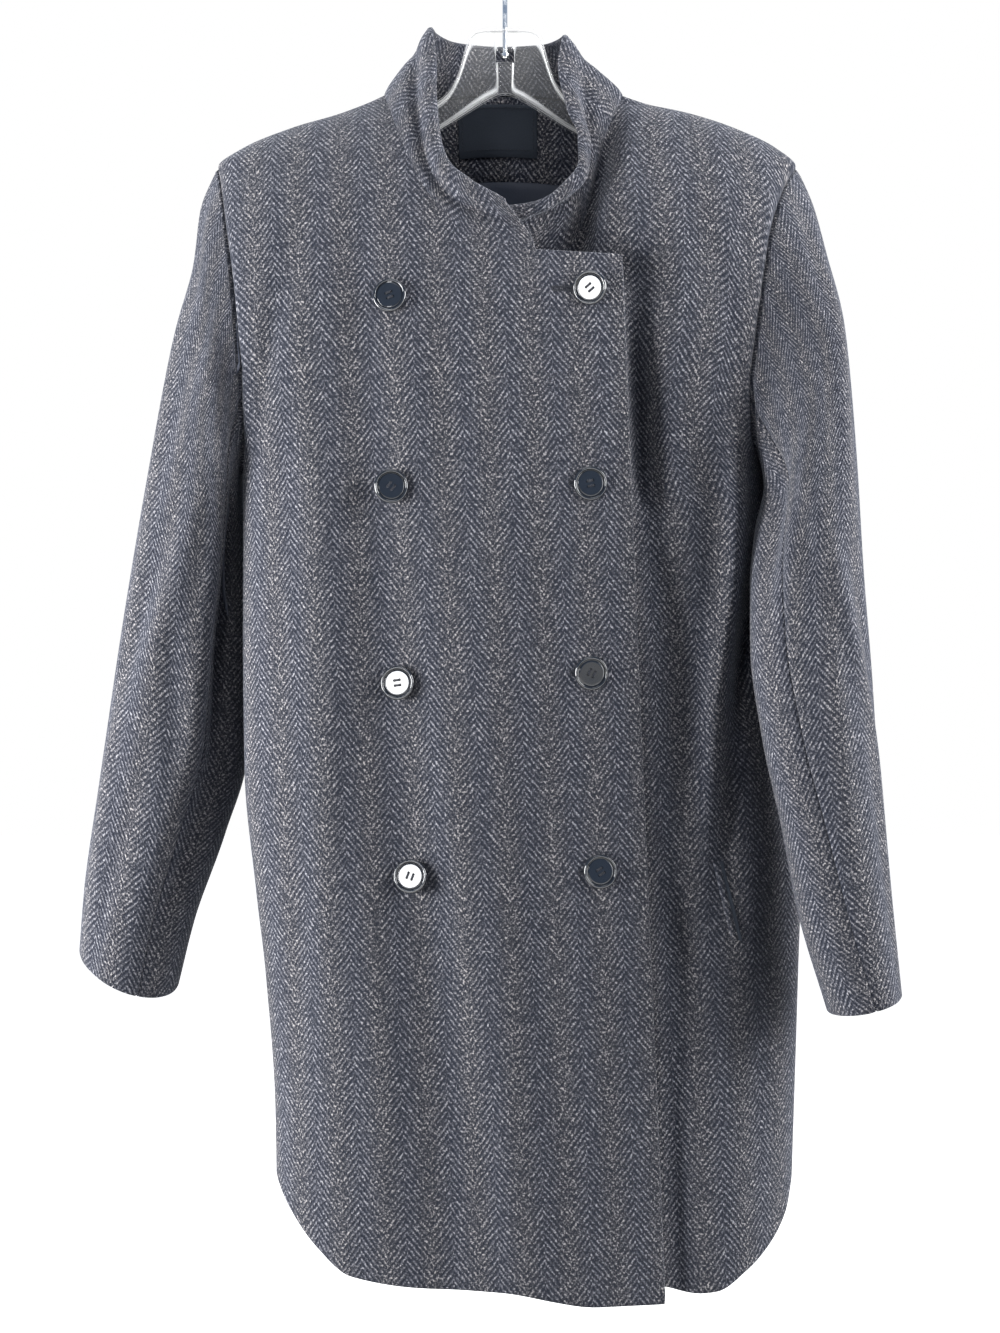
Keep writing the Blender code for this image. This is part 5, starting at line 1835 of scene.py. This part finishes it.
class COAT_OT_back(bpy.types.Operator):
    """Make the back from armhole to armhole"""

    bl_idname = "coat.back"
    bl_label = "Back"

    def execute(self, context):
        cloth = context.scene.coat_cloth
        back = back_panel()
        across, down = runs(back.places, 1), runs(back.places, 0)
        edges = even_edges(back.places, SEWN_EDGE, SEWN_EDGE, FREE_EDGE, SEWN_EDGE)
        edges.top[SHOULDER_COLUMNS : SHOULDER_COLUMNS + BACK_NECK_COLUMNS + 1] = FLAT_EDGE
        columns = down.shape[1]
        off_neck = np.abs(np.arange(columns) - (columns - 1) / 2) - BACK_NECK_COLUMNS / 2
        dip = seam_dip(across) + seam_dip(across[:, -1:] - across)
        dip = dip + seam_dip(down) * smoothstep(off_neck / SEAM_START)
        dip = cloth.seam_dip * np.minimum(dip, 1.0)
        turned_in = down[-1:] - down < HEM_TURNING
        finishes = cloth_finishes(cloth)
        piece = panel_shell("back_cloth", back, BACK_CUT, edges, dip, turned_in, finishes)
        place_piece(piece, "tweed", "back")
        return {"FINISHED"}


class COAT_OT_collar(bpy.types.Operator):
    """Make the stand collar with its rolled top edge"""

    bl_idname = "coat.collar"
    bl_label = "Collar"

    def execute(self, context):
        cloth = context.scene.coat_cloth
        grid = collar_grid(front_panel("right"), back_panel(), front_panel("left"))
        square = normals_of(grid, away_from_neck(grid))
        up = runs(grid, 0)
        below = up[-1:] - up
        knots = column(COLLAR_ROLLS, "along")
        roll = through(knots, column(COLLAR_ROLLS, "roll"), collar_along())
        valley = through(knots, column(COLLAR_ROLLS, "valley"), collar_along())
        roll = roll * np.exp(-(((below - COLLAR_ROLL_DROP) / COLLAR_ROLL_REACH) ** 2))
        roll = roll - valley * np.exp(-(((below - COLLAR_VALLEY_DROP) / COLLAR_VALLEY_REACH) ** 2))
        roll = roll * smoothstep(up / COLLAR_VALLEY_DROP)
        outer = grid + square * roll[..., None]
        shift = square.copy()
        shift[0, :, 2] = -COLLAR_FOOT_TILT
        shift[0] /= np.linalg.norm(shift[0], axis=1, keepdims=True)
        thick = COLLAR_CLOTH + COLLAR_ROLL_FILL * np.maximum(roll, 0)
        inner = outer - shift * thick[..., None]
        along = np.broadcast_to(runs(grid, 1)[COLLAR_ROWS // 2], up.shape)
        grain = np.stack((along, up), axis=2)
        edges = even_edges(grid, FLAT_EDGE, FREE_EDGE, FREE_EDGE, FREE_EDGE)
        finishes = [kept("herringbone_tweed", tweed, cloth)]
        piece = cloth_shell("collar_cloth", outer, inner, grain, edges, finishes)
        place_piece(piece, "tweed", "collar")
        return {"FINISHED"}


class COAT_OT_sleeves(bpy.types.Operator):
    """Make the top and under cuts of both sleeves"""

    bl_idname = "coat.sleeves"
    bl_label = "Sleeves"

    def execute(self, context):
        cloth = context.scene.coat_cloth
        finishes = cloth_finishes(cloth)
        front_seam, back_seam = sleeve_seams()
        for side, rows in (("right", RIGHT_SLEEVE), ("left", LEFT_SLEEVE)):
            sleeve = sleeve_rings(rows, side, cloth.seam_dip)
            count = sleeve.outer.shape[1]
            under = [*range(front_seam, back_seam + 1)]
            top = [*range(back_seam, count), *range(front_seam + 1)]
            for kind, places, start in (
                ("top", top, count - back_seam),
                ("under", under, len(under) // 2),
            ):
                outer, inner = [part_seams(grid[:, places]) for grid in sleeve]
                across, down = runs(outer, 1), runs(outer, 0)
                left = down[-1:] - down
                grain = np.stack((across - across[:, start : start + 1], left), axis=2)
                inside = np.where(left < CUFF_TURNING, 0, 1)[:-1, :-1]
                edges = even_edges(outer, SEWN_EDGE, SEWN_EDGE, FREE_EDGE, SEWN_EDGE)
                name = f"sleeve_{side}_{kind}"
                piece = cloth_shell(f"{name}_cloth", outer, inner, grain, edges, finishes, inside)
                place_piece(piece, "tweed", name)
        return {"FINISHED"}


def stretch(line, start, end):
    """The places of a rising line from one value to another."""
    return slice(int(np.searchsorted(line, start)), int(np.searchsorted(line, end)) + 1)


class COAT_OT_neck(bpy.types.Operator):
    """Make the facing, the lining and the bare label inside the back of the neck"""

    bl_idname = "coat.neck"
    bl_label = "Inside of the neck"

    def execute(self, context):
        cloth = context.scene.coat_cloth
        trim = context.scene.coat_trim
        back = back_panel()
        first, last = SHOULDER_COLUMNS, SHOULDER_COLUMNS + BACK_NECK_COLUMNS
        columns = slice(first, last + 1)
        fall = -back.places[:, (first + last) // 2, 2]
        facing_rows = stretch(fall, fall[0], -FACING_FOOT_Z)
        lining_rows = stretch(fall, -FACING_FOOT_Z, -LINING_FOOT_Z)
        # The facing's tweed is a brightened copy: painted light for the shaded inside of the neck
        facing = kept("herringbone_facing", tweed, cloth, FACING_PAINTED_LIGHT)
        satin = kept("satin_lining", lining, cloth)
        base = CLOTH + SEAM
        for name, slot, finish, rows, thick in (
            ("neck_facing", "tweed", facing, facing_rows, FACING_CLOTH),
            ("back_lining", "lining", satin, lining_rows, LINING_CLOTH),
        ):
            piece = self.layer(name, back, rows, columns, base, thick, finish)
            place_piece(piece, slot, name)
        sides = stretch(back.places[0, :, 0] - COAT_OFF_HOOK, LABEL_FROM.x, LABEL_TO.x)
        ends = stretch(fall, -LABEL_FROM.z, -LABEL_TO.z)
        lift = base + 2 * SEAM + FACING_CLOTH
        finish = kept("label_weave", label_weave, cloth)
        label = self.layer("neck_label", back, ends, sides, lift, LABEL_CLOTH, finish)
        over = back.places[ends, sides] - (lift + LABEL_CLOTH + SEAM) * back.normals[ends, sides]
        edge = np.vstack((over[1, 1:-1], over[1:-1, -2], over[-2, -2:0:-1], over[-2:0:-1, 1]))
        finish = kept("sewing_thread", thread, trim)
        sewn = sew("neck_label_stitches", [edge], LABEL_STITCH, finish)
        place_piece(label, "label", "neck_label")
        place_piece(sewn, "label")
        return {"FINISHED"}

    def layer(self, name, back, rows, columns, lift, thick, finish):
        """One layer that lies against the inside of the back."""
        places, normals = back.places[rows, columns], back.normals[rows, columns]
        outer = places - (lift + thick) * normals
        inner = places - lift * normals
        edges = even_edges(outer, LAYER_EDGE, LAYER_EDGE, LAYER_EDGE, LAYER_EDGE)
        grain = back.grain[rows, columns]
        return cloth_shell(f"{name}_cloth", outer, inner, grain, edges, [finish])


class COAT_OT_pocket(bpy.types.Operator):
    """Make the turned edge of the seam pocket, and a dark strip of painted shade along its opening
    """

    bl_idname = "coat.pocket"
    bl_label = "Pocket edge"

    def execute(self, context):
        cloth = context.scene.coat_cloth
        wool = kept("herringbone_tweed", tweed, cloth)
        # The slit's dark finish is painted shade, where the pocket's opening lies in shadow
        slit_shade = kept("pocket_bag", label_weave, cloth)
        share = np.linspace(0, 1, POCKET_STEPS + 1)[:, None]
        taper = np.sqrt(np.clip(1 - (2 * share - 1) ** POCKET_TAPER_POWER, 0, 1))
        rise = POCKET_RISE * taper
        lip = self.strip("pocket_edge_left_cloth", share, 0.0, POCKET_WIDTH, rise, wool)
        rise = POCKET_SLIT_RISE * taper
        slit = self.strip("pocket_slit_left", share, -POCKET_GAP, POCKET_GAP, rise, slit_shade)
        place_piece(lip, "tweed", "pocket_edge_left")
        place_piece(slit, "lining")
        return {"FINISHED"}

    def strip(self, name, share, start, width, rise, finish):
        """A strip along the pocket, domed across its width."""
        across = np.linspace(0, 1, POCKET_CELLS + 1)
        x = POCKET_TOP.x + (POCKET_FOOT.x - POCKET_TOP.x) * share - start - width * across
        z = POCKET_TOP.z + (POCKET_FOOT.z - POCKET_TOP.z) * share + 0 * across
        dome = rise * np.sqrt(np.clip(1 - (2 * across - 1) ** 2, 0, 1))
        cut = FRONT_CUTS["left"]
        inner = on_cloth(cut, x, z, POCKET_LIFT)
        outer = inner + (SEAM + dome)[..., None] * cloth_normals(cut, x, z)
        grain = np.stack((x - lap_line(z), z), axis=2)
        edges = even_edges(outer, POCKET_EDGE, POCKET_EDGE, POCKET_EDGE, POCKET_EDGE)
        return cloth_shell(name, outer, inner, grain, edges, [finish])


class COAT_OT_buttons(bpy.types.Operator):
    """Turn the eight buttons, drill their holes and sew them on"""

    bl_idname = "coat.buttons"
    bl_label = "Buttons"

    def execute(self, context):
        trim = context.scene.coat_trim
        finishes = kept("dark_resin", resin, trim), kept("sewing_thread", thread, trim)
        drilled = self.drilled()
        places = [vertex.co for vertex in drilled.vertices]
        body = places, [tuple(face.vertices) for face in drilled.polygons]
        sewn = self.sewing()
        places, faces = join((body, sewn))
        slots = [0] * len(body[1]) + [1] * len(sewn[1])
        for name, pose in BUTTONS.items():
            seat = self.seat(name, pose)
            vertices = [seat @ Vector(place) for place in places]
            piece = new_piece(f"{name}_sewn", vertices, faces, finishes, slots)
            piece.data.set_sharp_from_angle(angle=math.radians(BUTTON_SHARP))
            place_piece(piece, "button", name)
        bpy.data.meshes.remove(drilled)
        return {"FINISHED"}

    def drilled(self):
        """A turned button with its holes drilled through."""
        outline = line_points(BUTTON_OUTLINE, BUTTON_OUTLINE_STEPS)
        blank = new_piece("button_blank", *turned_mesh(outline, BUTTON_SEGMENTS), [])
        drills = []
        for hole in range(BUTTON_HOLES):
            turn = 2 * math.pi * (hole + 0.5) / BUTTON_HOLES
            off = (HOLE_REACH * math.cos(turn), HOLE_REACH * math.sin(turn), 0)
            places, faces = turned_mesh(DRILL, HOLE_SEGMENTS)
            drills.append((np.add(places, off), faces))
        return cut_away(blank, new_piece("button_drill", *join(drills), []))

    def sewing(self):
        """Two bars of thread, each of two strands, between pairs of holes."""
        reach = HOLE_REACH * math.sqrt(0.5)
        share = np.linspace(0, 1, THREAD_STEPS + 1)
        arch = np.clip(np.sin(math.pi * share) * THREAD_STEEPNESS, 0, 1)
        arch = THREAD_SUNK + (THREAD_ARCH - THREAD_SUNK) * arch
        x = -reach * np.cos(math.pi * share)
        strands = []
        for bar in (-reach, reach):
            for strand in (-THREAD_RADIUS, THREAD_RADIUS):
                path = np.column_stack((x, np.full_like(share, bar + strand), arch))
                strands.append(tube(path, THREAD_RADIUS, THREAD_SIDES, (0, 1, 0)))
        return join(strands)

    def seat(self, name, pose):
        """Where a button lies: at its solid's place, tilted as it hangs on its thread."""
        places = np.array([vertex.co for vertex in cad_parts[name].data.vertices])
        middle = (places.min(axis=0) + places.max(axis=0)) / 2
        axis = np.linalg.svd(places - middle, full_matrices=False)[2][2]
        axis = -axis if axis[1] > 0 else axis
        floor = ((places - middle) @ axis).min()
        aside = Matrix.Rotation(math.radians(pose.aside), 4, "Z")
        nod = Matrix.Rotation(math.radians(pose.nod), 4, "X")
        facing = aside @ nod @ Vector((0, -1, 0))
        spin = Matrix.Rotation(math.radians(pose.spin), 4, "Z")
        widest = max(point.radius for point in BUTTON_OUTLINE)
        lift = BUTTON_STAND * widest * math.sin(facing.angle(Vector(axis)))
        seat = Vector(middle + axis * (floor + lift))
        return Matrix.Translation(seat) @ facing.to_track_quat("Z", "Y").to_matrix().to_4x4() @ spin


class COAT_OT_buttonholes(bpy.types.Operator):
    """Sew the buttonholes in the lap"""

    bl_idname = "coat.buttonholes"
    bl_label = "Buttonholes"

    def execute(self, context):
        trim = context.scene.coat_trim
        cut = FRONT_CUTS["right"]
        finish = kept("sewing_thread", thread, trim)
        sizes = {
            "Spacing": trim.stitch_spacing,
            "Length": trim.stitch_length,
            "Thickness": trim.stitch_thickness,
            "Upright": 1.0,
            "Unevenness": BUTTONHOLE_UNEVENNESS,
        }
        turn = np.linspace(math.pi / 2, 1.5 * math.pi, BUTTONHOLE_TURN_STEPS + 1)
        for order, (spot, start) in enumerate(zip(EDGE_BUTTONS, BUTTONHOLE_FROM), 1):
            lines = []
            for side in (-1, 1):
                x = spot.x + np.linspace(start, BUTTONHOLE_TO, BUTTONHOLE_STEPS + 1)
                z = np.full_like(x, spot.z + side * BUTTONHOLE_HALF)
                lines.append(on_cloth(cut, x, z, BUTTONHOLE_LIFT))
            x = spot.x + start + BUTTONHOLE_END_REACH * BUTTONHOLE_HALF * np.cos(turn)
            z = spot.z + BUTTONHOLE_HALF * np.sin(turn)
            lines.append(on_cloth(cut, x, z, BUTTONHOLE_LIFT))
            sewn = sew(f"buttonhole_{order}", lines, sizes, finish)
            place_piece(sewn, "button")
        return {"FINISHED"}


class COAT_OT_hanger(bpy.types.Operator):
    """Make the clear hanger with its window, and finish the hook's wire"""

    bl_idname = "coat.hanger"
    bl_label = "Hanger"

    def execute(self, context):
        trim = context.scene.coat_trim
        plastic = kept("moulded_clear_plastic", clear_plastic, trim)
        wire = kept("drawn_wire", drawn_wire, trim)
        sections = [self.section(*station) for station in self.stations()]
        count = len(sections[0])
        first = tuple(range(count))
        last = tuple((len(sections) - 1) * count + k for k in reversed(first))
        wall = [(b, a, d, c) for a, b, c, d in ring_faces(len(sections), count)]
        faces = [first, *wall, last]
        blank = new_piece("hanger_blank", np.vstack(sections), faces, [])
        rounding = blank.modifiers.new("rounding", "SUBSURF")
        rounding.levels = rounding.render_levels = HANGER_ROUNDING
        low, high = WINDOW_FROM, WINDOW_TO
        corners = [
            (x, y, z)
            for x in (low.x, high.x)
            for y in (-WINDOW_DEPTH / 2, WINDOW_DEPTH / 2)
            for z in (low.z, high.z)
        ]
        sides = ((0, 1, 3, 2), (4, 6, 7, 5), (0, 4, 5, 1), (2, 3, 7, 6), (0, 2, 6, 4), (1, 5, 7, 3))
        mesh = cut_away(blank, new_piece("hanger_window", corners, sides, []))
        mesh.name = "hanger_body_clear"
        mesh.materials.clear()
        mesh.materials.append(plastic)
        mesh.shade_smooth()
        mesh.set_sharp_from_angle(angle=math.radians(HANGER_SHARP))
        place_piece(put("hanger_body_clear", mesh), "clear_plastic", "hanger_body")
        end = new_piece("hanger_wire_end", *self.wire_end(), [wire])
        end.data.set_sharp_from_angle(angle=math.radians(WIRE_SHARP))
        place_piece(end, "hook_steel")
        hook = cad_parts["hanger_hook"]
        for slot in hook.material_slots:
            slot.material = wire
        return {"FINISHED"}

    def stations(self):
        """The hanger's sections from the tip of its right arm to the tip of its left one."""
        first, last = HANGER_ARM_REACHES[0], HANGER_ARM_REACHES[-1]
        tall, low = HANGER_ARM_HEIGHTS
        halves = {}
        for sign in (-1, 1):
            halves[sign] = [
                (sign * row.top_reach, row.top_z, sign * row.low_reach, row.low_z, row.web)
                for row in HANGER_HEAD
            ]
            for reach in HANGER_ARM_REACHES:
                share = (reach - first) / (last - first)
                top = ridge_z(sign * reach - COAT_OFF_HOOK) - HANGER_UNDER_RIDGE
                foot = top - (tall + (low - tall) * share)
                halves[sign].append((sign * reach, top, sign * reach, foot, HANGER_ARM_WEB))
        return halves[-1][::-1] + halves[1][1:]

    def section(self, top_x, top_z, low_x, low_z, web):
        """Outline of one section: a crowned top rim, a web and a lower rim."""
        top = np.array((top_x, 0, top_z))
        low = np.array((low_x, 0, low_z))
        down = (low - top) / np.linalg.norm(low - top)
        crown_half, crown_drop = HANGER_CROWN
        side = [
            top + (0, crown_half, 0),
            top + down * crown_drop + (0, HANGER_RIM, 0),
            top + down * HANGER_RIM_HEIGHT + (0, max(HANGER_RIM, web / 2), 0),
            top + down * (HANGER_RIM_HEIGHT + crown_drop) + (0, web / 2, 0),
            low - down * HANGER_RIM_HEIGHT + (0, web / 2, 0),
            low - down * crown_drop + (0, HANGER_RIM, 0),
            low + (0, HANGER_RIM, 0),
        ]
        return side + [place * (1, -1, 1) for place in reversed(side)]

    def wire_end(self):
        """The end of the wire in the hanger's head, with the nut that holds it."""
        nut_foot = WIRE_FOOT_Z + WIRE_BEVEL
        nut_top = WIRE_FOOT_Z + 2 * NUT_HALF
        outline = (
            (NUT_BEVEL, WIRE_FOOT_Z - WIRE_BEVEL),
            (WIRE_RADIUS - NUT_BEVEL, WIRE_FOOT_Z - WIRE_BEVEL),
            (WIRE_RADIUS, WIRE_FOOT_Z),
            (WIRE_RADIUS, nut_foot),
            (NUT_RADIUS - NUT_BEVEL, nut_foot),
            (NUT_RADIUS, nut_foot + NUT_BEVEL),
            (NUT_RADIUS, nut_top),
            (NUT_RADIUS - NUT_BEVEL, nut_top + NUT_BEVEL),
            (WIRE_RADIUS, nut_top + NUT_BEVEL),
            (WIRE_RADIUS, WIRE_TOP_Z),
            (NUT_BEVEL, WIRE_TOP_Z),
        )
        return turned_mesh(outline, WIRE_SEGMENTS)


class COAT_OT_studio(bpy.types.Operator):
    """Set the pale floor, the soft lights and the camera"""

    bl_idname = "coat.studio"
    bl_label = "Studio"

    def execute(self, context):
        stage = context.scene.coat_stage
        square = ((-1, -1), (1, -1), (1, 1), (-1, 1))
        corners = [(x * FLOOR_REACH, y * FLOOR_REACH, stage.floor_level) for x, y in square]
        mesh = bpy.data.meshes.new("studio_floor")
        mesh.from_pydata(corners, [], [(0, 1, 2, 3)])
        mesh.materials.append(kept("pale_floor", pale_floor, stage))
        floor = put("studio_floor", mesh)
        floor.visible_diffuse = False
        context.scene.world = self.surround(stage)
        for lamp in LAMPS:
            self.light(lamp, getattr(stage, lamp.power))
        lens = bpy.data.cameras.new("photo_camera")
        lens.sensor_fit = "VERTICAL"
        lens.sensor_height = SENSOR_HEIGHT
        lens.lens = SENSOR_HEIGHT / 2 * CAMERA_REACH / (HALF_FRAME * PIXEL)
        camera = put("photo_camera", lens)
        camera.location = CAMERA_PLACE
        camera.rotation_euler = (math.pi / 2, 0.0, 0.0)
        context.scene.camera = camera
        context.scene.view_settings.view_transform = "Standard"
        return {"FINISHED"}

    def surround(self, stage):
        """A surround that is seen as white and lights more softly than it looks."""
        world = bpy.data.worlds.new("white_surround")
        world.use_nodes = True
        nodes = Nodes(world.node_tree)
        seen = nodes.node("ShaderNodeLightPath", {}, {}, "Is Camera Ray")
        mirrored = nodes.node("ShaderNodeLightPath", {}, {}, "Is Glossy Ray")
        strength = stage.sky + seen * (1.0 - stage.sky) + mirrored * stage.mirrored_sky
        tint = nodes.blend(seen, SURROUND_COLOUR, WHITE)
        background = nodes.tree.nodes["Background"]
        nodes.tree.links.new(tint.socket, background.inputs["Color"])
        nodes.tree.links.new(strength.socket, background.inputs["Strength"])
        return world

    def light(self, lamp, power):
        """A square soft light that faces the coat."""
        glow = bpy.data.lights.new(lamp.name, "AREA")
        glow.energy = power
        glow.size = lamp.width
        thing = put(lamp.name, glow)
        thing.location = lamp.place
        way = Vector(LIGHT_AIM) - Vector(lamp.place)
        thing.rotation_euler = way.to_track_quat("-Z", "Y").to_euler()


class COAT_PT_pieces(bpy.types.Panel):
    """The coat's sizes, colours and pieces"""

    bl_idname = "COAT_PT_pieces"
    bl_label = "Double-breasted coat"
    bl_space_type = "VIEW_3D"
    bl_region_type = "UI"
    bl_category = "Coat"

    def draw(self, context):
        layout = self.layout
        for group in (context.scene.coat_cloth, context.scene.coat_trim, context.scene.coat_stage):
            box = layout.box()
            for name in group.bl_rna.properties.keys():
                if name not in ("rna_type", "name"):
                    box.prop(group, name)
        for step in STEPS:
            layout.operator(step.bl_idname)


STEPS = (
    COAT_OT_fronts,
    COAT_OT_back,
    COAT_OT_collar,
    COAT_OT_sleeves,
    COAT_OT_neck,
    COAT_OT_pocket,
    COAT_OT_buttons,
    COAT_OT_buttonholes,
    COAT_OT_hanger,
    COAT_OT_studio,
)
GROUPS = {"coat_cloth": CoatCloth, "coat_trim": CoatTrim, "coat_stage": CoatStage}


def register():
    """Make the property groups, operators and panel known to Blender."""
    for kind in (*GROUPS.values(), *STEPS, COAT_PT_pieces):
        bpy.utils.register_class(kind)
    for name, kind in GROUPS.items():
        setattr(bpy.types.Scene, name, PointerProperty(type=kind))


def unregister():
    """Take them back."""
    for name in GROUPS:
        delattr(bpy.types.Scene, name)
    for kind in (COAT_PT_pieces, *reversed(STEPS), *GROUPS.values()):
        bpy.utils.unregister_class(kind)


def main():
    """Dress the coat piece by piece."""
    register()
    for step in STEPS:
        family, action = step.bl_idname.split(".")
        getattr(getattr(bpy.ops, family), action)()


if __name__ == "__main__":
    main()
